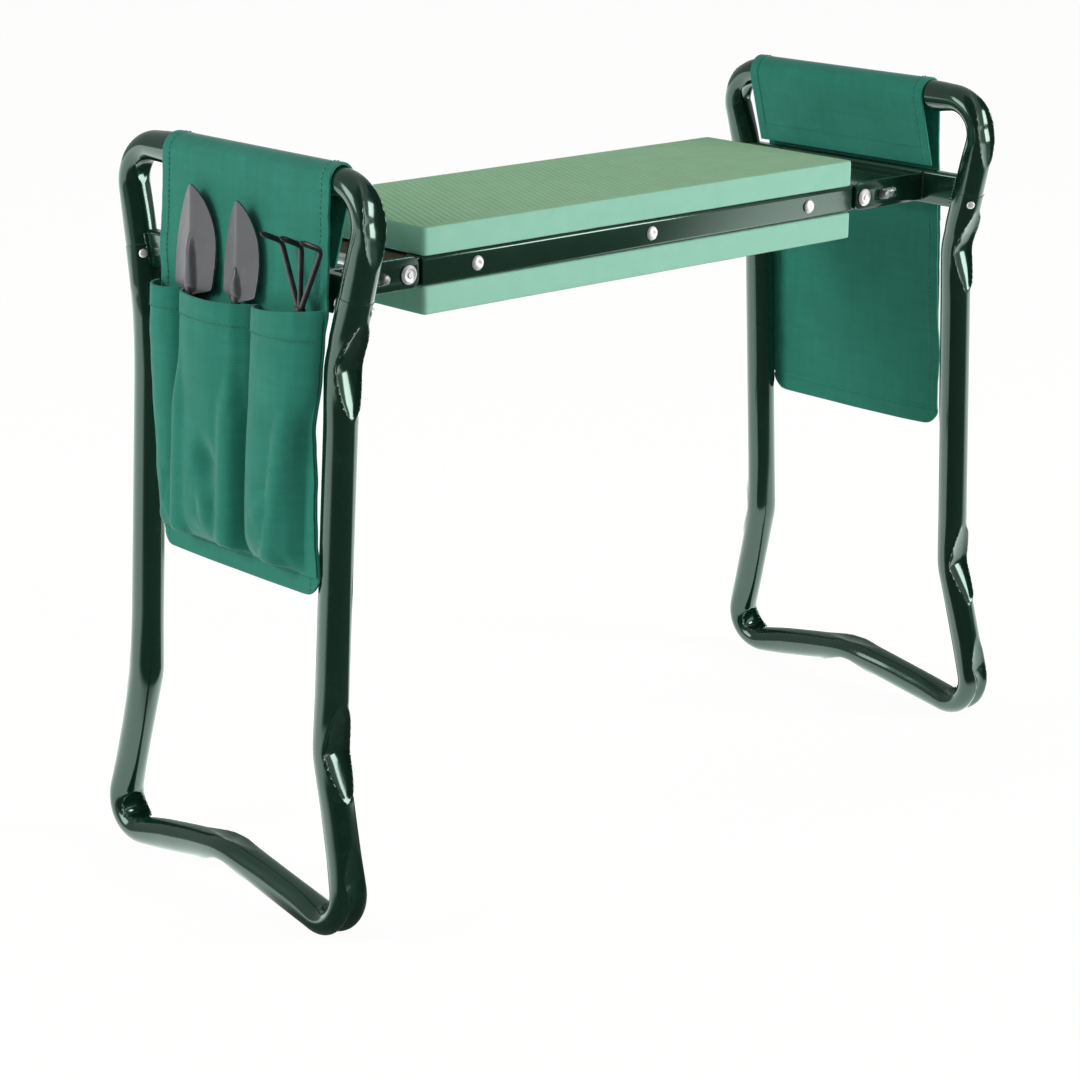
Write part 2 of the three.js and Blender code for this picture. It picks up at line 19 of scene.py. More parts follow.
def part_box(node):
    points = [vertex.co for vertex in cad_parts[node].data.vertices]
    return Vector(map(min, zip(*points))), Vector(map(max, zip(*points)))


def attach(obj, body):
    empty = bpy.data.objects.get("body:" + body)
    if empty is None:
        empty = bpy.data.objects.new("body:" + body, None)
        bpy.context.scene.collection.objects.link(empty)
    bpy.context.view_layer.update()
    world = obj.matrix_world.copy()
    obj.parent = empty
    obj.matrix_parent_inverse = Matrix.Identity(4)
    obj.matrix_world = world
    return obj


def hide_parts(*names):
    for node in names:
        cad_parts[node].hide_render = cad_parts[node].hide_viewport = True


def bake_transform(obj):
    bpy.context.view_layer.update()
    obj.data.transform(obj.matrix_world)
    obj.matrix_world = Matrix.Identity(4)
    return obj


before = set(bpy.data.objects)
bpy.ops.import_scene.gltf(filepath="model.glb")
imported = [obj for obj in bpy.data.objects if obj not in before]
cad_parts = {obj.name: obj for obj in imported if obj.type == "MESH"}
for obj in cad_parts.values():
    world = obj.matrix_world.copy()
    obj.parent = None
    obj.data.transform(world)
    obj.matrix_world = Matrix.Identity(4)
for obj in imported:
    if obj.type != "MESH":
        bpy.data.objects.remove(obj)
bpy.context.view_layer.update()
LOG = logging.getLogger("kneeler")
MM = 0.001
TOOL_OFF = 22.1
TROWEL_Y = -27.5
TRANSPLANTER_Y = 20.0
STEM_LOW = 314.8


# ------------------------------------------------------------------ meshes in the making
@dataclass
class Skin:
    """A mesh in the making.

    Attributes:
        points: Its points in millimetres, one to a row.
        faces: Its faces, as numbers of points.
    """

    points: np.ndarray
    faces: list[tuple[int, ...]]

    def plus(self, other: "Skin") -> "Skin":
        """Returns this skin and another as one."""
        start = len(self.points)
        moved = [tuple(i + start for i in face) for face in other.faces]
        return Skin(np.vstack([self.points, other.points]), self.faces + moved)

    def put(self, matrix: np.ndarray) -> "Skin":
        """Returns the skin carried by a 4 by 4 matrix."""
        return Skin(self.points @ matrix[:3, :3].T + matrix[:3, 3], self.faces)


def shift(x: float = 0.0, y: float = 0.0, z: float = 0.0) -> np.ndarray:
    """Returns the matrix of a move."""
    matrix = np.eye(4)
    matrix[:3, 3] = (x, y, z)
    return matrix


def turn(axis: str, angle: float) -> np.ndarray:
    """Returns the matrix of a turn about X, Y or Z, in radians."""
    return np.array(Matrix.Rotation(angle, 4, axis))


def strips(
    rows: int, columns: int, round_rows: bool = False, round_columns: bool = False
) -> list[tuple[int, ...]]:
    """Lists the faces between neighbouring rows and columns of a grid of points.

    Args:
        rows: The number of rows.
        columns: The number of points in a row.
        round_rows: Whether the last row joins the first.
        round_columns: Whether each row closes on itself.

    Returns:
        The faces, four points each.
    """
    faces = []
    for i in range(rows if round_rows else rows - 1):
        for j in range(columns if round_columns else columns - 1):
            k, n = (i + 1) % rows, (j + 1) % columns
            faces.append((i * columns + j, i * columns + n, k * columns + n, k * columns + j))
    return faces


def tunnel(rings: np.ndarray) -> Skin:
    """Joins rings of points, rows by points by 3, into a closed skin with both ends capped."""
    rows, columns = rings.shape[:2]
    faces = strips(rows, columns, round_columns=True)
    faces.append(tuple(range(columns))[::-1])
    faces.append(tuple((rows - 1) * columns + j for j in range(columns)))
    return Skin(rings.reshape(-1, 3), faces)


def lathe(profile: Sequence[tuple[float, float]], sides: int = 40) -> Skin:
    """Turns a profile about Z.

    Args:
        profile: Pairs of radius and height, from one end on the axis to the other.
        sides: The number of points round the axis.

    Returns:
        A closed skin.
    """
    angles = np.linspace(0, 2 * math.pi, sides, endpoint=False)
    circle = np.stack([np.cos(angles), np.sin(angles)], 1)
    rings = [
        np.column_stack([circle * max(radius, 1e-4), np.full(sides, height)])
        for radius, height in profile
    ]
    return tunnel(np.array(rings))


def rounded(corners: Sequence[tuple[float, float, float]], steps: int = 7) -> np.ndarray:
    """Rounds the corners of a polygon.

    Args:
        corners: Triples of x, y and radius.
        steps: The number of points on each arc, less one.

    Returns:
        The outline's points, one to a row.
    """
    places = [np.array(c[:2], float) for c in corners]
    outline = []
    for i, (_, _, radius) in enumerate(corners):
        here = places[i]
        back = places[i - 1] - here
        on = places[(i + 1) % len(places)] - here
        back, on = back / np.linalg.norm(back), on / np.linalg.norm(on)
        half = math.acos(max(-1.0, min(1.0, float(back @ on)))) / 2
        if radius <= 0:
            outline.append(here)
            continue
        reach = radius / math.tan(half)
        centre = here + (back + on) / np.linalg.norm(back + on) * radius / math.sin(half)
        start, stop = here + back * reach - centre, here + on * reach - centre
        sweep_angle = math.pi - 2 * half
        side = 1.0 if start[0] * stop[1] - start[1] * stop[0] > 0 else -1.0
        for k in range(steps + 1):
            angle = side * sweep_angle * k / steps
            cos, sin = math.cos(angle), math.sin(angle)
            swung = np.array([start[0] * cos - start[1] * sin, start[0] * sin + start[1] * cos])
            outline.append(centre + swung)
    return np.array(outline)


def circle(x: float, y: float, radius: float, points: int = 32) -> np.ndarray:
    """Returns the points of a circle."""
    angles = np.linspace(0, 2 * math.pi, points, endpoint=False)
    return np.column_stack([x + radius * np.cos(angles), y + radius * np.sin(angles)])


def plate(outlines: Sequence[np.ndarray], thickness: float, edge: float) -> Skin:
    """Cuts a flat plate with rounded edges.

    Args:
        outlines: The outer outline and then the holes, in the plate's own plane.
        thickness: The plate's thickness, centred on the plane.
        edge: The radius of its edges.

    Returns:
        A closed skin in XY.
    """
    curve = bpy.data.curves.new("plate", "CURVE")
    curve.dimensions, curve.fill_mode = "2D", "BOTH"
    curve.extrude = thickness / 2 - edge
    curve.bevel_depth, curve.bevel_resolution, curve.offset = edge, 2, -edge
    for outline in outlines:
        spline = curve.splines.new("POLY")
        spline.points.add(len(outline) - 1)
        spline.use_cyclic_u = True
        for point, (x, y) in zip(spline.points, outline):
            point.co = (x, y, 0, 1)
    holder = bpy.data.objects.new("plate", curve)
    bpy.context.scene.collection.objects.link(holder)
    evaluated = holder.evaluated_get(bpy.context.evaluated_depsgraph_get())
    mesh = bpy.data.meshes.new_from_object(evaluated)
    points = np.array([v.co for v in mesh.vertices], float).reshape(-1, 3)
    faces = [tuple(p.vertices) for p in mesh.polygons]
    bpy.data.objects.remove(holder)
    bpy.data.curves.remove(curve)
    bpy.data.meshes.remove(mesh)
    return Skin(points, faces)


def slopes(sheet: np.ndarray) -> np.ndarray:
    """Returns the unit normals of a grid of points, rows by columns by 3."""
    down, across = np.gradient(sheet, axis=0), np.gradient(sheet, axis=1)
    normals = np.cross(across, down)
    return normals / np.maximum(np.linalg.norm(normals, axis=2, keepdims=True), 1e-9)


def thick_sheet(middle: np.ndarray, front: np.ndarray | float, back: np.ndarray | float) -> Skin:
    """Gives a grid of points two faces and a rim.

    Args:
        middle: The sheet, rows by columns by 3.
        front: How far the front face stands off it, along its normals.
        back: How far the back face stands off it, the other way.

    Returns:
        A closed skin.
    """
    rows, columns = middle.shape[:2]
    normals = slopes(middle)
    ahead = middle + normals * (np.zeros((rows, columns)) + front)[..., None]
    behind = middle - normals * (np.zeros((rows, columns)) + back)[..., None]
    count = rows * columns
    faces = [face[::-1] for face in strips(rows, columns)]
    faces += [tuple(i + count for i in face) for face in strips(rows, columns)]
    rim = list(range(columns))
    rim += [i * columns + columns - 1 for i in range(1, rows)]
    rim += [(rows - 1) * columns + j for j in range(columns - 2, -1, -1)]
    rim += [i * columns for i in range(rows - 2, 0, -1)]
    for a, b in zip(rim, rim[1:] + rim[:1]):
        faces.append((a, b, b + count, a + count))
    return Skin(np.vstack([ahead.reshape(-1, 3), behind.reshape(-1, 3)]), faces)


def rope(path: np.ndarray, radius: np.ndarray | float, sides: int = 10, flat: float = 1.0) -> Skin:
    """Sweeps a round or flattened section along a line of points.

    Args:
        path: The line, one point to a row.
        radius: The section's radius, one number or one for each point.
        sides: The number of points round the section.
        flat: The section's thickness as a share of its width.

    Returns:
        A closed skin.
    """
    radius = np.zeros(len(path)) + radius
    tangents = np.gradient(path, axis=0)
    tangents /= np.linalg.norm(tangents, axis=1, keepdims=True)
    guide = np.array([0.0, 0.0, 1.0]) if abs(tangents[0][2]) < 0.9 else np.array([1.0, 0.0, 0.0])
    rings = []
    for point, along, r in zip(path, tangents, radius):
        guide = guide - along * (guide @ along)
        guide /= np.linalg.norm(guide)
        other = np.cross(along, guide)
        angles = np.linspace(0, 2 * math.pi, sides, endpoint=False)[:, None]
        rings.append(point + r * (np.cos(angles) * guide * flat + np.sin(angles) * other))
    return tunnel(np.array(rings))


def window(distance: np.ndarray | float, reach: float) -> np.ndarray | float:
    """Returns a smooth bump: 1 at no distance, 0 from reach on."""
    share = np.clip(np.abs(distance) / reach, 0, 1)
    return 0.5 + 0.5 * np.cos(math.pi * share)


def ripple(x: float, y: float, scale: float, seed: float) -> float:
    """Returns smooth noise from -1 to 1 at a place, for a size of feature in millimetres."""
    return noise.noise(Vector((x / scale, y / scale, seed)))


def build(name: str, skin: Skin, finish: "Finish", sharp: float = 38.0) -> bpy.types.Object:
    """Makes an object from a skin that is already in the object's frame, in millimetres.

    Args:
        name: The piece's name.
        skin: Its mesh.
        finish: What it is made of.
        sharp: Edges that turn more than this, in degrees, stay sharp.

    Returns:
        The object, linked to the scene.
    """
    mesh = bpy.data.meshes.new(name)
    mesh.from_pydata((skin.points * MM).tolist(), [], skin.faces)
    work = bmesh.new()
    work.from_mesh(mesh)
    bmesh.ops.remove_doubles(work, verts=work.verts, dist=2e-6)
    bmesh.ops.recalc_face_normals(work, faces=work.faces)
    work.to_mesh(mesh)
    work.free()
    mesh.shade_smooth()
    mesh.set_sharp_from_angle(angle=math.radians(sharp))
    mesh.materials.append(finish.material())
    piece = bpy.data.objects.new(name, mesh)
    bpy.context.scene.collection.objects.link(piece)
    return piece


# ------------------------------------------------------------------ shared shader groups
Socket = bpy.types.NodeSocket
Tree = bpy.types.NodeTree


def group_of(
    name: str, inputs: dict[str, float], outputs: Sequence[str]
) -> tuple[Tree, bpy.types.Node, bpy.types.Node]:
    """Starts a shader group with number sockets.

    Args:
        name: The group's name.
        inputs: Its inputs and their usual values.
        outputs: Its outputs.

    Returns:
        The group, its input node and its output node.
    """
    tree = bpy.data.node_groups.new(name, "ShaderNodeTree")
    for label, value in inputs.items():
        made = tree.interface.new_socket(name=label, in_out="INPUT", socket_type="NodeSocketFloat")
        made.default_value = value
    for label in outputs:
        tree.interface.new_socket(name=label, in_out="OUTPUT", socket_type="NodeSocketFloat")
    return tree, tree.nodes.new("NodeGroupInput"), tree.nodes.new("NodeGroupOutput")


def sum_node(tree: Tree, operation: str, *values: Socket | float) -> Socket:
    """Adds a Math node and returns its output."""
    node = tree.nodes.new("ShaderNodeMath")
    node.operation = operation
    for i, value in enumerate(values):
        if isinstance(value, (int, float)):
            node.inputs[i].default_value = value
        else:
            tree.links.new(value, node.inputs[i])
    return node.outputs[0]


def noise_node(
    tree: Tree, scale: Socket | float, detail: float = 2.0, stretch: tuple | None = None
) -> Socket:
    """Adds a noise texture over the object's own coordinates and returns its value."""
    where = tree.nodes.new("ShaderNodeTexCoord").outputs["Object"]
    if stretch:
        mapping = tree.nodes.new("ShaderNodeMapping")
        mapping.inputs["Scale"].default_value = stretch
        tree.links.new(where, mapping.inputs["Vector"])
        where = mapping.outputs["Vector"]
    texture = tree.nodes.new("ShaderNodeTexNoise")
    texture.inputs["Detail"].default_value = detail
    tree.links.new(where, texture.inputs["Vector"])
    if isinstance(scale, (int, float)):
        texture.inputs["Scale"].default_value = scale
    else:
        tree.links.new(scale, texture.inputs["Scale"])
    return texture.outputs["Fac"]


def fine_grain() -> Tree:
    """Returns the group for fine grain: a soft mottle and a fine height, made once."""
    if "fine_grain" in bpy.data.node_groups:
        return bpy.data.node_groups["fine_grain"]
    usual = {"Grain scale": 900, "Mottle scale": 25, "Mottle": 0.5}
    tree, given, out = group_of("fine_grain", usual, ["Height", "Mottle"])
    fine = noise_node(tree, given.outputs["Grain scale"], 3)
    broad = noise_node(tree, given.outputs["Mottle scale"], 3)
    centred = sum_node(tree, "SUBTRACT", broad, 0.5)
    scaled = sum_node(tree, "MULTIPLY", centred, given.outputs["Mottle"])
    tree.links.new(fine, out.inputs["Height"])
    tree.links.new(sum_node(tree, "ADD", scaled, 0.5), out.inputs["Mottle"])
    return tree


def edge_wear() -> Tree:
    """Returns the group that marks worn convex edges, made once."""
    if "edge_wear" in bpy.data.node_groups:
        return bpy.data.node_groups["edge_wear"]
    tree, given, out = group_of("edge_wear", {"Amount": 0.5, "Break up": 60}, ["Mask"])
    point = tree.nodes.new("ShaderNodeNewGeometry").outputs["Pointiness"]
    edge = sum_node(tree, "MULTIPLY", sum_node(tree, "SUBTRACT", point, 0.53), 14.0)
    broken = sum_node(tree, "SUBTRACT", noise_node(tree, given.outputs["Break up"], 4), 0.42)
    both = sum_node(tree, "MULTIPLY", edge, sum_node(tree, "MULTIPLY", broken, 6.0))
    mask = tree.nodes.new("ShaderNodeClamp")
    tree.links.new(sum_node(tree, "MULTIPLY", both, given.outputs["Amount"]), mask.inputs["Value"])
    tree.links.new(mask.outputs[0], out.inputs["Mask"])
    return tree


def plain_weave() -> Tree:
    """Returns the group for plain weave: yarns that pass over and under each other, made once."""
    if "plain_weave" in bpy.data.node_groups:
        return bpy.data.node_groups["plain_weave"]
    tree, given, out = group_of("plain_weave", {"Yarns per metre": 1100}, ["Height", "Shade"])
    where = tree.nodes.new("ShaderNodeSeparateXYZ")
    tree.links.new(tree.nodes.new("ShaderNodeTexCoord").outputs["Object"], where.inputs[0])
    density = sum_node(tree, "MULTIPLY", given.outputs["Yarns per metre"], math.pi)
    weft = sum_node(tree, "MULTIPLY", where.outputs["Z"], density)
    warp = sum_node(tree, "MULTIPLY", sum_node(tree, "ADD", where.outputs["Y"], where.outputs["X"]), density)
    over = sum_node(tree, "MULTIPLY", sum_node(tree, "SINE", weft), sum_node(tree, "SINE", warp))
    slub = noise_node(tree, 220, 2, (1, 1, 0.12))
    slub_across = noise_node(tree, 220, 2, (0.12, 0.12, 1))
    halves = [sum_node(tree, "MULTIPLY", value, 0.5) for value in (slub, slub_across)]
    yarns = sum_node(tree, "ADD", *halves)
    tree.links.new(sum_node(tree, "ADD", sum_node(tree, "MULTIPLY", over, 0.35), yarns), out.inputs["Height"])
    tree.links.new(sum_node(tree, "ADD", sum_node(tree, "MULTIPLY", over, 0.12), yarns), out.inputs["Shade"])
    return tree


def settled_dust() -> Tree:
    """Returns the group that marks thin dust on faces that look up, made once."""
    if "settled_dust" in bpy.data.node_groups:
        return bpy.data.node_groups["settled_dust"]
    tree, given, out = group_of("settled_dust", {"Amount": 0.2}, ["Mask"])
    facing = tree.nodes.new("ShaderNodeSeparateXYZ")
    tree.links.new(tree.nodes.new("ShaderNodeNewGeometry").outputs["Normal"], facing.inputs[0])
    upward = sum_node(tree, "MAXIMUM", facing.outputs["Z"], 0.0)
    patches = noise_node(tree, 45, 5)
    mask = sum_node(tree, "MULTIPLY", sum_node(tree, "MULTIPLY", upward, patches), given.outputs["Amount"])
    tree.links.new(mask, out.inputs["Mask"])
    return tree


# ------------------------------------------------------------------ finishes
Colour = tuple[float, float, float]


@dataclass(frozen=True)
class Finish:
    """A material. Each kind of finish adds its own pattern to the plain shader.

    Attributes:
        name: The material's name.
        slot: The record's material slot; not used.
        colour: The base colour, linear.
        accent: The colour that varies it.
        roughness: The middle roughness.
        metallic: 1 for bare metal.
        specular: The strength of the clear reflection.
    """

    name: str
    slot: str
    colour: Colour
    accent: Colour
    roughness: float = 0.5
    metallic: float = 0.0
    specular: float = 0.5

    def material(self) -> bpy.types.Material:
        """Returns the material, made the first time it is asked for."""
        if self.name in bpy.data.materials:
            return bpy.data.materials[self.name]
        made = bpy.data.materials.new(self.name)
        made.use_nodes = True
        tree = made.node_tree
        shader = tree.nodes["Principled BSDF"]
        shader.inputs["Roughness"].default_value = self.roughness
        shader.inputs["Metallic"].default_value = self.metallic
        shader.inputs["Specular IOR Level"].default_value = self.specular
        self.pattern(tree, shader)
        return made

    def pattern(self, tree: Tree, shader: bpy.types.Node) -> None:
        """Adds what varies over the surface. Kinds of finish replace this."""
        grain = self.place(tree, fine_grain(), {})
        self.tint(tree, shader, grain.outputs["Mottle"])
        self.relief(tree, shader, grain.outputs["Height"], 0.05, 0.05)

    def place(self, tree: Tree, group: Tree, values: dict[str, float]) -> bpy.types.Node:
        """Places a shared group with its own values and returns the node."""
        node = tree.nodes.new("ShaderNodeGroup")
        node.node_tree = group
        for label, value in values.items():
            node.inputs[label].default_value = value
        return node

    def mixed(self, tree: Tree, mask: Socket, low: Colour | Socket, high: Colour | Socket) -> Socket:
        """Mixes two colours by a mask and returns the colour."""
        mix = tree.nodes.new("ShaderNodeMix")
        mix.data_type = "RGBA"
        tree.links.new(mask, mix.inputs["Factor"])
        for value, label in ((low, 6), (high, 7)):
            if isinstance(value, tuple):
                mix.inputs[label].default_value = (*value, 1)
            else:
                tree.links.new(value, mix.inputs[label])
        return mix.outputs[2]

    def tint(self, tree: Tree, shader: bpy.types.Node, mask: Socket) -> Socket:
        """Varies the base colour between the finish's two colours and returns it."""
        colour = self.mixed(tree, mask, self.colour, self.accent)
        tree.links.new(colour, shader.inputs["Base Color"])
        return colour

    def rough(self, tree: Tree, shader: bpy.types.Node, mask: Socket, low: float, high: float) -> None:
        """Varies the roughness from low to high with a mask."""
        ramp = tree.nodes.new("ShaderNodeMapRange")
        ramp.inputs["To Min"].default_value, ramp.inputs["To Max"].default_value = low, high
        tree.links.new(mask, ramp.inputs["Value"])
        tree.links.new(ramp.outputs[0], shader.inputs["Roughness"])

    def relief(
        self, tree: Tree, shader: bpy.types.Node, height: Socket, strength: float, depth: float
    ) -> None:
        """Feeds a height into the surface normal. Depth is in millimetres."""
        bump = tree.nodes.new("ShaderNodeBump")
        bump.inputs["Strength"].default_value = strength
        bump.inputs["Distance"].default_value = depth * MM
        tree.links.new(height, bump.inputs["Height"])
        tree.links.new(bump.outputs[0], shader.inputs["Normal"])


@dataclass(frozen=True)
class PowderCoat(Finish):
    """Glossy powder coat with orange peel, thin at the edges."""

    def pattern(self, tree: Tree, shader: bpy.types.Node) -> None:
        """Adds orange peel, a soft mottle and thin worn edges."""
        grain = self.place(tree, fine_grain(), {"Grain scale": 260, "Mottle scale": 14, "Mottle": 1.2})
        wear = self.place(tree, edge_wear(), {"Amount": 0.22, "Break up": 90})
        dust = self.place(tree, settled_dust(), {"Amount": 0.03})
        base = self.mixed(tree, grain.outputs["Mottle"], self.colour, self.accent)
        worn = self.mixed(tree, wear.outputs["Mask"], base, (0.10, 0.15, 0.12))
        dusty = self.mixed(tree, dust.outputs["Mask"], worn, (0.32, 0.36, 0.32))
        tree.links.new(dusty, shader.inputs["Base Color"])
        self.rough(tree, shader, grain.outputs["Mottle"], self.roughness * 0.75, self.roughness * 1.3)
        self.relief(tree, shader, grain.outputs["Height"], 0.05, 0.10)
        shader.inputs["Specular Tint"].default_value = (0.62, 0.95, 0.80, 1)
        shader.inputs["Coat Weight"].default_value = 0.6
        shader.inputs["Coat Tint"].default_value = (0.70, 0.96, 0.85, 1)
        shader.inputs["Coat Roughness"].default_value = 0.06


@dataclass(frozen=True)
class BareMetal(Finish):
    """Bright plated or plain metal with fine drawing marks."""

    def pattern(self, tree: Tree, shader: bpy.types.Node) -> None:
        """Adds fine marks and a faint mottle."""
        grain = self.place(tree, fine_grain(), {"Grain scale": 1400, "Mottle scale": 160, "Mottle": 1.4})
        self.tint(tree, shader, grain.outputs["Mottle"])
        self.rough(tree, shader, grain.outputs["Mottle"], self.roughness * 0.7, self.roughness * 1.4)
        self.relief(tree, shader, grain.outputs["Height"], 0.12, 0.03)


@dataclass(frozen=True)
class Foam(Finish):
    """Closed-cell foam: tiny cells and a soft mottle."""

    def pattern(self, tree: Tree, shader: bpy.types.Node) -> None:
        """Adds cells, a mottle and a little dust."""
        grain = self.place(tree, fine_grain(), {"Grain scale": 1500, "Mottle scale": 70, "Mottle": 1.0})
        dust = self.place(tree, settled_dust(), {"Amount": 0.12})
        base = self.mixed(tree, grain.outputs["Mottle"], self.colour, self.accent)
        dusty = self.mixed(tree, dust.outputs["Mask"], base, (0.50, 0.52, 0.42))
        tree.links.new(dusty, shader.inputs["Base Color"])
        self.relief(tree, shader, grain.outputs["Height"], 0.35, 0.18)
        shader.inputs["Sheen Weight"].default_value = 0.12
        shader.inputs["Sheen Roughness"].default_value = 0.6


@dataclass(frozen=True)
class WovenCloth(Finish):
    """Plain-weave coated polyester."""

    def pattern(self, tree: Tree, shader: bpy.types.Node) -> None:
        """Adds the weave, its shade and a soft sheen."""
        weave = self.place(tree, plain_weave(), {"Yarns per metre": 1150})
        grain = self.place(tree, fine_grain(), {"Grain scale": 1200, "Mottle scale": 30, "Mottle": 0.8})
        mask = sum_node(tree, "MULTIPLY", weave.outputs["Shade"], grain.outputs["Mottle"])
        self.tint(tree, shader, sum_node(tree, "MULTIPLY", mask, 2.0))
        self.rough(tree, shader, grain.outputs["Mottle"], self.roughness * 0.9, self.roughness * 1.1)
        self.relief(tree, shader, weave.outputs["Height"], 0.45, 0.22)
        shader.inputs["Sheen Weight"].default_value = 0.25
        shader.inputs["Sheen Roughness"].default_value = 0.45


@dataclass(frozen=True)
class CoatedBlade(Finish):
    """Thin grey coating on pressed steel, scuffed along its edges."""

    def pattern(self, tree: Tree, shader: bpy.types.Node) -> None:
        """Adds streaks, a fine grain and worn edges."""
        grain = self.place(tree, fine_grain(), {"Grain scale": 700, "Mottle scale": 60, "Mottle": 0.7})
        wear = self.place(tree, edge_wear(), {"Amount": 0.22, "Break up": 160})
        base = self.mixed(tree, grain.outputs["Mottle"], self.colour, self.accent)
        worn = self.mixed(tree, wear.outputs["Mask"], base, (0.30, 0.31, 0.31))
        tree.links.new(worn, shader.inputs["Base Color"])
        self.rough(tree, shader, grain.outputs["Mottle"], self.roughness * 0.8, self.roughness * 1.25)
        self.relief(tree, shader, grain.outputs["Height"], 0.3, 0.06)


@dataclass(frozen=True)
class Plywood(Finish):
    """Plain plywood with its plies along the edge."""

    def pattern(self, tree: Tree, shader: bpy.types.Node) -> None:
        """Adds grain along the board and its plies."""
        streaks = noise_node(tree, 60, 4, (0.15, 1.0, 6.0))
        self.tint(tree, shader, streaks)
        self.relief(tree, shader, streaks, 0.3, 0.2)


DULL_STEEL = BareMetal("dull_steel", "bare_steel", (0.26, 0.27, 0.27), (0.36, 0.37, 0.37), 0.45, 0.7)
GREEN_PAINT = PowderCoat(
    "green_powder_coat", "green_paint",
    (0.0042, 0.0225, 0.0130), (0.0064, 0.0310, 0.0185), 0.16, 0.0, 0.55,
)
ZINC = BareMetal("bright_zinc", "bare_steel", (0.80, 0.81, 0.81), (0.92, 0.92, 0.91), 0.42, 0.55)
SPRING_WIRE = BareMetal("spring_wire", "spring_steel", (0.45, 0.46, 0.47), (0.56, 0.57, 0.58), 0.28, 1.0)
CUT_FOAM = Foam("cut_foam", "foam", (0.31, 0.66, 0.50), (0.38, 0.74, 0.58), 0.92, 0.0, 0.2)
SKIN_FOAM = Foam("embossed_foam", "foam", (0.25, 0.53, 0.29), (0.33, 0.64, 0.37), 0.85, 0.0, 0.25)
CLOTH = WovenCloth(
    "pouch_weave", "pouch_cloth",
    (0.014, 0.200, 0.135), (0.034, 0.300, 0.215), 0.78, 0.0, 0.25,
)
THREAD = WovenCloth(
    "sewing_thread", "pouch_cloth",
    (0.020, 0.170, 0.120), (0.050, 0.270, 0.190), 0.7, 0.0, 0.3,
)
BLADE = CoatedBlade(
    "blade_coating", "tool_steel",
    (0.070, 0.073, 0.076), (0.12, 0.124, 0.128), 0.40, 0.35, 0.5,
)
TINE = CoatedBlade(
    "tine_coating", "tool_steel",
    (0.012, 0.012, 0.013), (0.022, 0.022, 0.023), 0.35, 0.0, 0.5,
)
GRIP = Finish("grip_plastic", "black_plastic", (0.014, 0.014, 0.015), (0.024, 0.024, 0.026), 0.45, 0.0, 0.5)
# Plywood darkened far below its own tone: painted shade for the board hidden between the pads.
BOARD_IN_PAINTED_SHADE = Plywood("core_plywood_painted_shade", "core_board", (0.12, 0.080, 0.045), (0.20, 0.140, 0.085), 0.75)
FLOOR = Finish("pale_floor", "", (0.86, 0.86, 0.855), (0.88, 0.88, 0.875), 0.9, 0.0, 0.1)


# ------------------------------------------------------------------ the two ends of the seat
class Side(Enum):
    """An end of the seat, with the sign of its X."""

    LEFT = -1
    RIGHT = 1


@dataclass(frozen=True)
class End:
    """The axes of one end: X out along the seat, Y along the hand bar, Z up, with a leaning leg frame."""

    side: Side
    tube_x: float = 305.1
    lean: float = math.atan2(26.8, 490.0)

    @property
    def name(self) -> str:
        """The end's word in piece names."""
        return self.side.name.lower()

    @property
    def legs(self) -> str:
        """The body of the end's leg frame."""
        return f"{self.name}_legs"

    def upright(self) -> np.ndarray:
        """Returns the matrix from the end's upright axes to the object's frame."""
        return turn("Z", math.pi if self.side is Side.LEFT else 0.0)

    def leaning(self) -> np.ndarray:
        """Returns the matrix from the leaning leg frame's axes to the object's frame."""
        return self.upright() @ shift(x=self.tube_x) @ turn("Y", -self.lean)

    def rows(self) -> tuple[tuple[str, int], tuple[str, int]]:
        """Returns the front and rear rows, each with its sign along the end's own Y."""
        return (("front", -self.side.value), ("rear", self.side.value))


# ------------------------------------------------------------------ crush-bent tube
@dataclass(frozen=True)
class Dent:
    """An oval pressed into a bent tube, with a crease across its middle and a raised rim.

    Attributes:
        depth: Its depth at the crease.
        reach: Half its length.
        inner: Whether it lies on the bend's inner side.
        lip: Height of the rim.
        shift: How far it lies from the bend's middle, towards the tube's middle.
    """

    depth: float
    reach: float
    inner: bool = True
    lip: float = 1.0
    shift: float = 0.0

    def press(self, towards: np.ndarray, across: np.ndarray, along: float, radius: float) -> np.ndarray:
        """Presses one side of a section.

        Args:
            towards: How far each point lies towards the dented side.
            across: How far each point lies across the bend.
            along: The section's distance from the middle of the bend.
            radius: The section's half thickness there.

        Returns:
            The pressed section, towards the dented side.
        """
        share = abs(along - self.shift) / self.reach
        if share >= 1:
            return towards
        depth = max(self.depth * (1 - math.sqrt(share * share + 0.010)) / 0.9, 0.0)
        level = radius - depth
        chord = radius * math.sqrt(max(1 - (level / radius) ** 2, 1e-4))
        floor = level - 0.35 * depth * (1 - np.clip(across / chord, -1, 1) ** 2)
        blend = 0.3 + 0.07 * depth
        lower = -blend * np.logaddexp(-towards / blend, -floor / blend)
        near = window(np.maximum(np.abs(across) - chord, 0), 2.6)
        ridge = self.lip * np.exp(-(((np.abs(across) - chord - 0.5) / 1.5) ** 2)) * min(depth / 1.2, 1.0)
        return np.where(towards > 0, towards + (lower - towards) * near + ridge, towards)


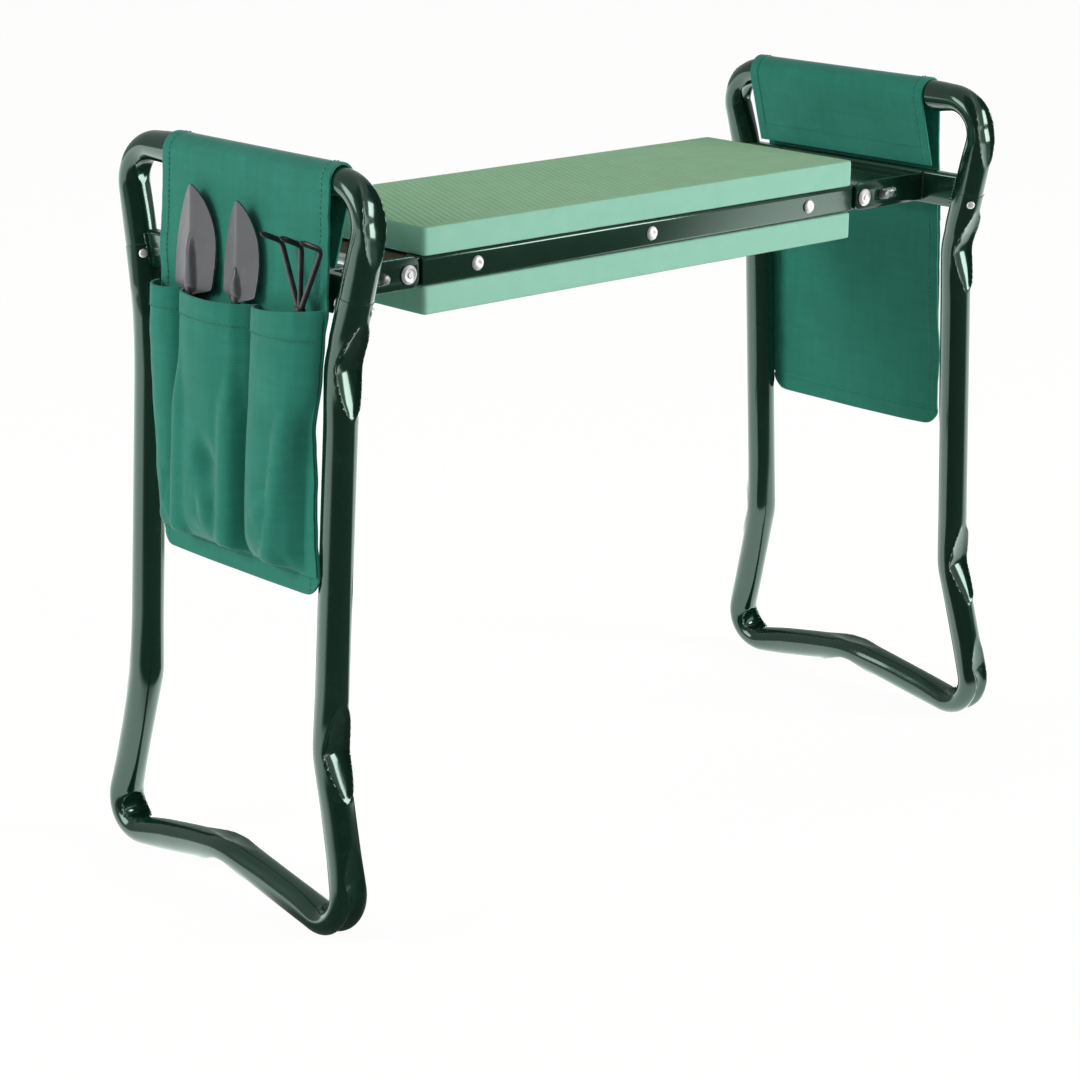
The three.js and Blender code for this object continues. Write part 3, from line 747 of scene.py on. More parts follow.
@dataclass(frozen=True)
class Bend:
    """A corner of a bent tube, and how the bending tool presses the tube there.

    Attributes:
        y: The corner's place along the hand bar.
        z: Its height up the leaning frame.
        radius: The bend's radius.
        dents: The ovals pressed into it.
        reach: Half the length over which the section changes.
        groove: Depth of a narrow furrow on the outer side.
        furrow: Half the length of that furrow.
        widen: How much wider the section gets, as a share.
        squeeze: How much flatter it gets, as a share.
    """

    y: float
    z: float
    radius: float = 60.0
    dents: tuple[Dent, ...] = ()
    reach: float = 45.0
    groove: float = 0.0
    furrow: float = 30.0
    widen: float = 0.0
    squeeze: float = 0.0

    def other_side(self) -> "Bend":
        """Returns the same bend on the frame's other side."""
        values = dict(self.__dict__)
        values["y"] = -self.y
        values["dents"] = tuple(Dent(d.depth, d.reach, d.inner, d.lip, -d.shift) for d in self.dents)
        return Bend(**values)

    def press(
        self, inward: np.ndarray, across: np.ndarray, along: float, radius: float
    ) -> tuple[np.ndarray, np.ndarray]:
        """Presses one section of the tube.

        Args:
            inward: How far each point of the section lies towards the bend's inner side.
            across: How far each point lies across the bend.
            along: The section's distance from the middle of the bend.
            radius: The tube's radius.

        Returns:
            The pressed section, inward and across.
        """
        soft = window(along, self.reach)
        inward = inward * (1 - self.squeeze * soft)
        across = across * (1 + self.widen * soft)
        half = radius * (1 - self.squeeze * soft)
        for dent in self.dents:
            side = 1.0 if dent.inner else -1.0
            inward = side * dent.press(side * inward, across, along, half)
        if self.groove > 0:
            dip = self.groove * window(along, self.furrow) * np.exp(-((across / (0.34 * radius)) ** 2))
            inward = np.where(inward < 0, inward + dip, inward)
        return inward, across


@dataclass
class BentTube:
    """A tube bent in the leaning frame's plane.

    Attributes:
        bends: Its corners, with its two ends first and last.
        radius: Its outer radius.
        mouth: How much wider its two ends are swaged.
        sides: Points round the section.
    """

    bends: Sequence[Bend]
    radius: float = 11.0
    mouth: float = 0.0
    sides: int = 60
    fine: float = 1.7
    coarse: float = 6.0

    def centreline(self) -> tuple[np.ndarray, list[float], list[float]]:
        """Lays out the centreline.

        Returns:
            Closely spaced points in Y and Z, each bend's distance along them, and the sign of its inner side.
        """
        places = [np.array([b.y, b.z]) for b in self.bends]
        points, middles, signs = [places[0]], [], []
        length = 0.0
        for i in range(1, len(places) - 1):
            into = places[i] - places[i - 1]
            out = places[i + 1] - places[i]
            into, out = into / np.linalg.norm(into), out / np.linalg.norm(out)
            cross = into[0] * out[1] - into[1] * out[0]
            angle = math.atan2(cross, float(into @ out))
            radius = self.bends[i].radius
            start = places[i] - into * radius * math.tan(abs(angle) / 2)
            length += float(np.linalg.norm(start - points[-1]))
            side = math.copysign(1.0, angle)
            normal = np.array([-into[1], into[0]]) * side
            steps = max(8, int(radius * abs(angle) / 0.5))
            for k in range(steps + 1):
                part = abs(angle) * k / steps
                points.append(start + into * radius * math.sin(part) + normal * radius * (1 - math.cos(part)))
            middles.append(length + radius * abs(angle) / 2)
            signs.append(side)
            length += radius * abs(angle)
        points.append(places[-1])
        return np.array(points), middles, signs

    def skin(self) -> Skin:
        """Sweeps the pressed section along the centreline."""
        line, middles, signs = self.centreline()
        steps = np.concatenate([[0], np.cumsum(np.linalg.norm(np.diff(line, axis=0), axis=1))])
        keep = np.concatenate([[True], np.diff(steps) > 1e-9])
        line, steps = line[keep], steps[keep]
        stations = [0.0]
        while stations[-1] < steps[-1]:
            near = any(abs(stations[-1] - m) < 1.1 * b.reach for m, b in zip(middles, self.bends[1:-1]))
            stations.append(stations[-1] + (self.fine if near else self.coarse))
        stations = np.array(stations) * steps[-1] / stations[-1]
        centres = np.stack([np.interp(stations, steps, line[:, k]) for k in (0, 1)], 1)
        ahead = np.stack([np.interp(stations + 0.6, steps, line[:, k]) for k in (0, 1)], 1)
        behind = np.stack([np.interp(stations - 0.6, steps, line[:, k]) for k in (0, 1)], 1)
        tangents = ahead - behind
        tangents /= np.linalg.norm(tangents, axis=1, keepdims=True)
        angles = np.linspace(0, 2 * math.pi, self.sides, endpoint=False)
        rings = []
        for distance, centre, tangent in zip(stations, centres, tangents):
            from_end = min(distance, steps[-1] - distance)
            radius = self.radius + self.mouth * (1 - min(1.0, max(0.0, (from_end - 26) / 6)))
            inward, across = radius * np.cos(angles), radius * np.sin(angles)
            for bend, middle, sign in zip(self.bends[1:-1], middles, signs):
                if abs(distance - middle) < max(bend.reach, bend.furrow) + 5:
                    pressed, across = bend.press(inward * sign, across, distance - middle, radius)
                    inward = pressed * sign
            normal = np.array([-tangent[1], tangent[0]])
            plane = centre + inward[:, None] * normal
            rings.append(np.column_stack([across, plane]))
        return tunnel(np.array(self.lipped(rings)))

    def lipped(self, rings: list[np.ndarray]) -> list[np.ndarray]:
        """Rolls both ends in and leaves a shallow bore at each."""
        ends = []
        for ring, inner in ((rings[0], rings[1]), (rings[-1], rings[-2])):
            centre = ring.mean(0)
            depth = inner.mean(0) - centre
            depth /= np.linalg.norm(depth)
            shape = ((0.97, -0.35), (0.90, -0.35), (0.87, 0.3), (0.86, 9.0))
            ends.append([centre + (ring - centre) * size + depth * way for size, way in shape])
        return ends[0][::-1] + rings + ends[1]


# ------------------------------------------------------------------ seat
@dataclass
class FoamPad:
    """A foam pad: cut sides and an embossed outer face.

    Attributes:
        node: The CAD node that it stands for.
        upward: Whether its embossed face looks up.
    """

    node: str
    upward: bool
    corner: float = 2.5
    edge: float = 1.3
    pitch: float = 4.8
    emboss: float = 0.95
    step: float = 1.0

    def face_height(self, x: float, y: float) -> float:
        """Returns the embossed height at a place: rows of small slanted lozenges."""
        k = 2 * math.pi / self.pitch
        lozenge = math.cos(k * (x * 0.55 + y * 0.83)) + 0.75 * math.cos(k * (x * 0.95 - y * 0.42))
        return self.emboss * 0.5 * lozenge / 1.75 + 0.10 * ripple(x, y, 45, 3.0)

    def rim_place(self, x: float, y: float, half: tuple[float, float], inset: float) -> tuple[float, float]:
        """Moves a point of the inner rectangle out to the rounded outline, drawn in by an inset."""
        a, b = half
        core_x, core_y = a - self.corner, b - self.corner
        out_x = math.copysign(1, x) if abs(x) >= core_x - 1e-6 else 0
        out_y = math.copysign(1, y) if abs(y) >= core_y - 1e-6 else 0
        reach = self.corner - inset
        if out_x and out_y:
            reach /= math.sqrt(2)
        return x + out_x * reach, y + out_y * reach

    def skin(self) -> Skin:
        """Builds the pad in its own frame."""
        low, high = (np.array(v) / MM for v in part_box(self.node))
        centre, half = (low + high) / 2, (high - low) / 2
        thick = float(high[2] - low[2])
        a, b = float(half[0]), float(half[1])
        xs = np.linspace(-(a - self.corner), a - self.corner, int(2 * a / self.step))
        ys = np.linspace(-(b - self.corner), b - self.corner, int(2 * b / self.step))
        top = [(x, y, thick / 2 - 0.5 * self.emboss + self.face_height(x, y)) for y in ys for x in xs]
        columns, rows = len(xs), len(ys)
        faces = strips(rows, columns)
        rim = [j for j in range(columns)] + [i * columns + columns - 1 for i in range(1, rows)]
        rim += [(rows - 1) * columns + j for j in range(columns - 2, -1, -1)]
        rim += [i * columns for i in range(rows - 2, 0, -1)]
        points = list(top)
        arc = [math.radians(v) for v in (0, 30, 60, 90)]
        rings = [(self.edge * (1 - math.sin(v)), thick / 2 - self.edge * (1 - math.cos(v))) for v in arc]
        rings += [(0.0, z) for z in np.linspace(thick / 2 - self.edge, -thick / 2 + self.edge, 7)[1:-1]]
        rings += [(self.edge * (1 - math.cos(v)), -thick / 2 + self.edge * (1 - math.sin(v))) for v in arc]
        previous = rim
        for inset, z in rings:
            start = len(points)
            for i in rim:
                x, y = self.rim_place(top[i][0], top[i][1], (a, b), inset)
                wave = 0.28 * ripple(x + y, z, 26, 8.0 if self.upward else 11.0)
                points.append((x * (1 + wave / a), y * (1 + wave / b), z))
            ring = list(range(start, len(points)))
            count = len(ring)
            for j in range(count):
                k = (j + 1) % count
                faces.append((previous[j], ring[j], ring[k], previous[k]))
            previous = ring
        faces.append(tuple(previous))
        flip = np.diag([1.0, 1.0 if self.upward else -1.0, 1.0 if self.upward else -1.0, 1.0])
        return Skin(np.array(points), faces).put(shift(*centre) @ flip)

    def make(self) -> bpy.types.Object:
        """Builds and dresses the pad."""
        piece = build(f"{self.node}_foam", self.skin(), CUT_FOAM, 60)
        piece.data.materials.append(SKIN_FOAM.material())
        limit = 0.6
        outer = 1 if self.upward else -1
        low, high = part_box(self.node)
        face = (high.z - 2.2 * MM) if self.upward else (low.z + 2.2 * MM)
        for polygon in piece.data.polygons:
            if polygon.normal.z * outer > limit and (polygon.center.z - face) * outer > 0:
                polygon.material_index = 1
        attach(piece, "seat")
        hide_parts(self.node)
        return piece


@dataclass
class SeatFrame:
    """The two channel rails with their tangs, the core board and the rivets and axles of the seat."""

    web: float = 2.0
    depth: float = 16.0
    tang_start: float = 170.0
    tang_end: float = 223.5
    tang_height: float = 17.4
    tang_inner: float = 66.5
    tang_thick: float = 2.5
    head: float = 6.1
    head_rise: float = 2.2

    def rail(self, row: str) -> bpy.types.Object:
        """Builds a channel rail with a tang at each end."""
        low, high = (np.array(v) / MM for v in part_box(f"{row}_rail"))
        sign = -1 if row == "front" else 1
        face = abs(low[1] if sign < 0 else high[1])
        half = (low[2] - high[2]) / -2
        middle = float(low[2] + high[2]) / 2
        w, d = self.web, self.depth
        section = rounded([
            (face, -half, 2.4), (face, half, 2.4), (face - d, half, 0.5), (face - d, half - w, 0.5),
            (face - w, half - w, 0.9), (face - w, -half + w, 0.9),
            (face - d, -half + w, 0.5), (face - d, -half, 0.5),
        ])
        channel = plate([section], 2 * 199.3, 0.35)
        upright = np.array([[0, 0, 1, 0], [1, 0, 0, 0], [0, 1, 0, middle], [0, 0, 0, 1]], float)
        skin = channel.put(upright)
        for way in (-1, 1):
            near, far = sorted((way * self.tang_start, way * self.tang_end))
            tall, place = self.tang_height / 2, self.tang_inner + self.tang_thick / 2
            nose = tall - 1.2
            at_near, at_far = (nose, 1) if way < 0 else (1, nose)
            outline = rounded([
                (near, -tall, at_near), (far, -tall, at_far), (far, tall, at_far), (near, tall, at_near),
            ])
            flat = plate([outline], self.tang_thick, 0.35)
            standing = np.array([[1, 0, 0, 0], [0, 0, 1, place], [0, 1, 0, middle], [0, 0, 0, 1]], float)
            skin = skin.plus(flat.put(standing))
        if sign < 0:
            skin = skin.put(np.diag([1.0, -1.0, 1.0, 1.0]))
        piece = build(f"{row}_channel_rail", skin, GREEN_PAINT)
        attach(piece, "seat")
        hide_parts(f"{row}_rail")
        return piece

    def rivet(self, node: str) -> bpy.types.Object:
        """Builds a domed rivet with a dished middle on its CAD node's place."""
        low, high = (np.array(v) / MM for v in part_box(node))
        sign = -1 if low[1] < 0 else 1
        base = abs(high[1] if sign > 0 else low[1]) - 1.6
        centre = (low + high) / 2
        profile = [(0, 1.28), (1.0, 1.3), (1.7, 1.55), (2.9, 1.5), (3.9, 1.15), (4.55, 0.6), (4.8, 0.15)]
        profile += [(4.75, 0.0), (2.5, 0.0), (2.5, -12.6), (2.1, -13), (0, -13)]
        stand = turn("X", -math.pi / 2 * sign)
        skin = lathe(profile).put(shift(centre[0], sign * base, centre[2]) @ stand)
        piece = build(f"{node}_head", skin, ZINC)
        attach(piece, "seat")
        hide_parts(node)
        return piece

    def axle(self, end: End) -> bpy.types.Object:
        """Builds a fold axle: a shaft headed over outside both arms."""
        node = f"{end.name}_fold_axle"
        low, high = (np.array(v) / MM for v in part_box(node))
        reach = float(high[1])
        face = reach - self.head_rise
        h, r = self.head, self.head_rise
        cap = [(4.0, face), (h - 0.25, face), (h, face + 0.3), (h, face + 0.75), (h - 0.5, face + 1.2)]
        cap += [(h * 0.72, face + r * 0.86), (h * 0.62, face + r * 0.7), (h * 0.35, face + r * 0.72)]
        cap += [(h * 0.25, face + r), (0, face + r)]
        profile = [(radius, -height) for radius, height in cap[::-1]] + cap
        centre = (low + high) / 2
        skin = lathe(profile, 48).put(shift(centre[0], 0, centre[2]) @ turn("X", math.pi / 2))
        piece = build(f"{node}_pin", skin, ZINC)
        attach(piece, "seat")
        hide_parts(node)
        return piece

    def board(self) -> None:
        """Dresses the core board, whose shape is kept."""
        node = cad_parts["core_board"]
        node.data.materials.clear()
        # The board's finish is darkened plywood, which is painted shade between the pads.
        node.data.materials.append(BOARD_IN_PAINTED_SHADE.material())
        bevel = node.modifiers.new("eased", "BEVEL")
        bevel.width, bevel.segments, bevel.limit_method = 0.4 * MM, 2, "ANGLE"

    def make(self) -> None:
        """Builds the seat's steelwork."""
        for row in ("front", "rear"):
            self.rail(row)
            for place in ("left", "middle", "right"):
                self.rivet(f"{row}_{place}_rivet")
        for side in Side:
            self.axle(End(side))
        self.board()


# ------------------------------------------------------------------ leg frames
@dataclass
class LegFrame:
    """One end's steelwork: kinked leg loop, hand bar, crossbar, arms, lock rod, springs and welds."""

    end: End
    seam: float = 407.0
    top: Bend = Bend(
        125.8, 472.5, 24, (Dent(4.6, 24, False, 0.9, -13.0), Dent(2.2, 17, True, 0.3)), 46, squeeze=0.20,
    )
    upper_kink: Bend = Bend(98.4, 364.6, 50, (Dent(6.4, 32, True, 1.7),), 46, widen=0.10, squeeze=0.05)
    lower_kink: Bend = Bend(98.0, 121.3, 50, (Dent(6.4, 32, True, 1.7),), 46, widen=0.10, squeeze=0.05)
    foot: Bend = Bend(
        127.3, 4.1, 22, (Dent(6.4, 19, True, 1.2), Dent(2.8, 22, False, 0.7, -27.0)),
        50, 6.0, 26, widen=0.22, squeeze=0.16,
    )
    arch: Bend = Bend(
        0.0, 26.6, 70, (Dent(7.6, 34, True, 0.9), Dent(1.8, 22, False, 0.5)), 50, widen=0.14, squeeze=0.06
    )
    bar_x: tuple[float, float] = (276.0, 286.0)
    bar_z: tuple[float, float] = (393.5, 417.5)
    bar_reach: float = 103.0
    arm_x: tuple[float, float] = (203.1, 275.4)
    arm_y: float = 69.35
    arm_thick: float = 2.6
    arm_z: tuple[float, float] = (396.0, 416.0)
    slot_x: tuple[float, float] = (228.2, 247.2)
    slot_half: float = 3.9
    pivot_x: float = 211.5
    seat_z: float = 405.0
    axle_bore: float = 4.35
    lock_x: float = 232.0
    lock_reach: float = 76.5
    spring_y: float = 52.0

    def tube_y(self, z: float) -> float:
        """Returns the tube's place along the hand bar at a height above the upper kink."""
        share = (z - self.upper_kink.z) / (self.top.z - self.upper_kink.z)
        return self.upper_kink.y + share * (self.top.y - self.upper_kink.y)

    def riding(
        self, name: str, skin: Skin, finish: Finish, nodes: Sequence[str], body: str = ""
    ) -> bpy.types.Object:
        """Builds a piece that rides on the leg frame, or on another body, in place of CAD nodes."""
        piece = build(name, skin, finish)
        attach(piece, body or self.end.legs)
        if nodes:
            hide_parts(*nodes)
        return piece

    def leg_loop(self) -> None:
        """Builds both kinked legs and the arched floor bar as one tube."""
        start = Bend(self.tube_y(self.seam - 0.3), self.seam - 0.3)
        side = [start, self.upper_kink, self.lower_kink, self.foot]
        bends = [*side, self.arch, *[b.other_side() for b in reversed(side)]]
        skin = BentTube(bends, mouth=0.4).skin().put(self.end.leaning())
        name = f"{self.end.name}_leg_loop"
        self.riding(f"{name}_tube", skin, GREEN_PAINT, [name])

    def hand_bar(self) -> None:
        """Builds the upside-down U of the hand bar."""
        start = Bend(self.tube_y(self.seam), self.seam)
        bends = [start, self.top, self.top.other_side(), start.other_side()]
        skin = BentTube(bends).skin().put(self.end.leaning())
        name = f"{self.end.name}_hand_bar"
        self.riding(f"{name}_tube", skin, GREEN_PAINT, [name])

    def crossbar(self) -> None:
        """Builds the flat tube between the legs at seat height."""
        x0, x1 = self.bar_x
        z0, z1 = self.bar_z
        section = rounded([(x0, z0, 2.2), (x1, z0, 2.2), (x1, z1, 2.2), (x0, z1, 2.2)], 5)
        long = plate([section], 2 * self.bar_reach, 0.3)
        upright = np.array([[1, 0, 0, 0], [0, 0, 1, 0], [0, 1, 0, 0], [0, 0, 0, 1]], float)
        name = f"{self.end.name}_crossbar"
        self.riding(f"{name}_tube", long.put(self.end.upright() @ upright), GREEN_PAINT, [name])

    def arm(self, row: str, sign: int) -> None:
        """Builds an arm with its axle bore and its lock slot."""
        (x0, x1), (z0, z1), (s0, s1) = self.arm_x, self.arm_z, self.slot_x
        outline = rounded([(x0, z0, 5.5), (x1 + 0.4, z0, 0.6), (x1 + 0.4, z1, 0.6), (x0, z1, 5.5)])
        h = self.slot_half - 0.02
        z = self.seat_z
        corner = h - 0.05
        low, high = z - h, z + h
        slot = rounded([(s0, low, corner), (s1, low, corner), (s1, high, corner), (s0, high, corner)], 9)
        flat = plate([outline, circle(self.pivot_x, z, self.axle_bore), slot], self.arm_thick, 0.35)
        middle = sign * (self.arm_y + self.arm_thick / 2)
        upright = np.array([[1, 0, 0, 0], [0, 0, 1, middle], [0, 1, 0, 0], [0, 0, 0, 1]], float)
        name = f"{self.end.name}_{row}_arm"
        self.riding(f"{name}_plate", flat.put(self.end.upright() @ upright), GREEN_PAINT, [name])

    def lock_rod(self) -> None:
        """Builds the lock rod with a collar inside each arm."""
        reach, stop = self.lock_reach, self.arm_y - 0.9
        half = [(3.1, 0), (3.1, stop - 2.2), (4.3, stop - 2.2)]
        half += [(4.6, stop - 1.9), (4.6, stop - 0.3), (4.3, stop)]
        half += [(3.1, stop), (3.1, reach - 0.9), (2.85, reach - 0.35), (2.2, reach), (0, reach)]
        profile = [(r, -h) for r, h in half[:0:-1]] + half[1:]
        skin = lathe(profile, 36).put(shift(x=self.lock_x, z=self.seat_z) @ turn("X", math.pi / 2))
        name = f"{self.end.name}_lock_rod"
        self.riding(f"{name}_pin", skin.put(self.end.upright()), DULL_STEEL, [name], f"{self.end.name}_lock")

    def spring(self, row: str, sign: int) -> None:
        """Builds the push spring behind the lock rod."""
        name = f"{self.end.name}_{row}_lock_spring"
        start, stop = self.lock_x + 3.1 + 0.75, self.bar_x[0] - 0.8
        turns, wire = 11.5, 0.65
        t = np.linspace(0, 1, 420)
        eased = np.clip((t - 0.09) / 0.82, 0, 1)
        closed_start, closed_end = np.minimum(t / 0.09, 1), np.clip((t - 0.91) / 0.09, 0, 1)
        x = start + (stop - start) * (0.03 * closed_start + 0.94 * eased + 0.03 * closed_end)
        angle = 2 * math.pi * turns * t
        radius = 4.4 - wire
        across, up = sign * self.spring_y + radius * np.cos(angle), self.seat_z + radius * np.sin(angle)
        helix = np.column_stack([x, across, up])
        skin = rope(helix, wire, 8).put(self.end.upright())
        piece = build(f"{name}_coil", skin, SPRING_WIRE)
        self.end.legs
        f"{self.end.name}_lock"
        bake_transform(piece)
        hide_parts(name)

    def peg(self, row: str, sign: int) -> None:
        """Builds the peg that carries a spring's outer end."""
        name = f"{self.end.name}_{row}_spring_peg"
        x = self.bar_x[0] + 0.1
        profile = [(0, -12.3), (1.6, -12.3), (2.1, -11.9), (2.3, -11.3)]
        profile += [(2.3, -1.2), (2.9, -0.5), (3.3, 0), (0, 0)]
        skin = lathe(profile, 28).put(shift(x, sign * self.spring_y, self.seat_z) @ turn("Y", math.pi / 2))
        self.riding(f"{name}_pin", skin.put(self.end.upright()), GREEN_PAINT, [name])

    def joint_rivet(self, row: str, sign: int) -> None:
        """Builds the rivet that pins hand bar to leg loop, square across the slanted tube."""
        name = f"{self.end.name}_{row}_joint_rivet"
        slant = math.atan2(self.top.y - self.upper_kink.y, self.top.z - self.upper_kink.z)
        reach = 11.25
        head = [(1.7, -0.4), (2.9, 0.0), (2.85, 0.25), (2.3, 0.75), (1.2, 1.0), (0, 1.02)]
        profile = [(r, -reach - h) for r, h in head[::-1]] + [(r, reach + h) for r, h in head]
        stand = turn("X", -sign * slant) @ turn("Z", sign * math.pi / 5) @ turn("X", math.pi / 2)
        skin = lathe(profile, 28).put(shift(y=sign * self.tube_y(401), z=401) @ stand)
        self.riding(f"{name}_head", skin.put(self.end.leaning()), ZINC, [name])

    def bead(self, points: np.ndarray, width: float, seed: float) -> Skin:
        """Lays a rippled weld bead along a line of points, in the end's upright axes."""
        steps = np.concatenate([[0], np.cumsum(np.linalg.norm(np.diff(points, axis=0), axis=1))])
        count = int(steps[-1] / 0.45)
        at = np.linspace(0, steps[-1], count)
        path = np.stack([np.interp(at, steps, points[:, k]) for k in range(3)], 1)
        radius, moved = [], []
        for i, (distance, point) in enumerate(zip(at, path)):
            swell = 0.5 + 0.5 * math.cos(2 * math.pi * distance / 2.3)
            close = min(1.0, (min(i, count - 1 - i) + 0.6) / 3.0)
            rough = 0.84 + 0.16 * swell + 0.14 * ripple(distance, seed, 3.1, seed)
            radius.append(width * rough * math.sqrt(close))
            jitter = [ripple(distance, 9.1 * k, 4.3, seed + k) for k in range(3)]
            moved.append(point + 0.35 * np.array(jitter))
        return rope(np.array(moved), np.array(radius), 12)

    def welds(self) -> None:
        """Lays the weld beads: arms to crossbar and crossbar to legs."""
        skin = None
        for sign in (-1, 1):
            outer = sign * (self.arm_y + self.arm_thick)
            inner = sign * self.arm_y
            x = self.bar_x[0]
            z0, z1 = self.arm_z
            lines = [np.array([[x, outer, z0 + 0.5], [x, outer, z1 - 0.5]])]
            lines += [np.array([[x, inner, z0 + 2], [x, inner, z1 - 2]])]
            lines += [np.array([[x - 0.2, outer, z1], [x - 0.2, inner, z1]])]
            tube = self.end.tube_x - math.sin(self.end.lean) * self.seat_z
            for face in self.bar_x:
                away = face - tube
                side = []
                for z in np.linspace(self.bar_z[0] + 1.5, self.bar_z[1] - 1.5, 9):
                    shifted = away + (z - self.seat_z) * math.sin(self.end.lean)
                    in_plane = math.sqrt(max(11.0**2 - shifted**2, 1.0))
                    side.append([face, sign * (self.tube_y(z) - in_plane + 0.6), z])
                lines.append(np.array(side))
            for k, line in enumerate(lines):
                made = self.bead(line, 1.9 if k < 3 else 1.7, 3.0 * k + sign)
                skin = made if skin is None else skin.plus(made)
        piece = build(f"{self.end.name}_weld_beads", skin.put(self.end.upright()), GREEN_PAINT)
        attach(piece, self.end.legs)

    def make(self) -> None:
        """Builds the whole end frame."""
        self.leg_loop()
        self.hand_bar()
        self.crossbar()
        self.lock_rod()
        self.welds()
        for row, sign in self.end.rows():
            self.arm(row, sign)
            self.spring(row, sign)
            self.peg(row, sign)
            self.joint_rivet(row, sign)


# ------------------------------------------------------------------ pouches
@dataclass(frozen=True)
class Pocket:
    """One sewn pocket: a channel of cloth between two seams.

    Attributes:
        word: The pocket's word in piece names.
        start: Its first seam, along the hand bar.
        stop: Its other seam.
        depth: How far a full pocket stands off the panel.
        slack: How far an empty one does.
        margin: Where the bulge ends short of the second seam, lower down.
    """

    word: str
    start: float
    stop: float
    depth: float
    slack: float
    margin: float = 0.0


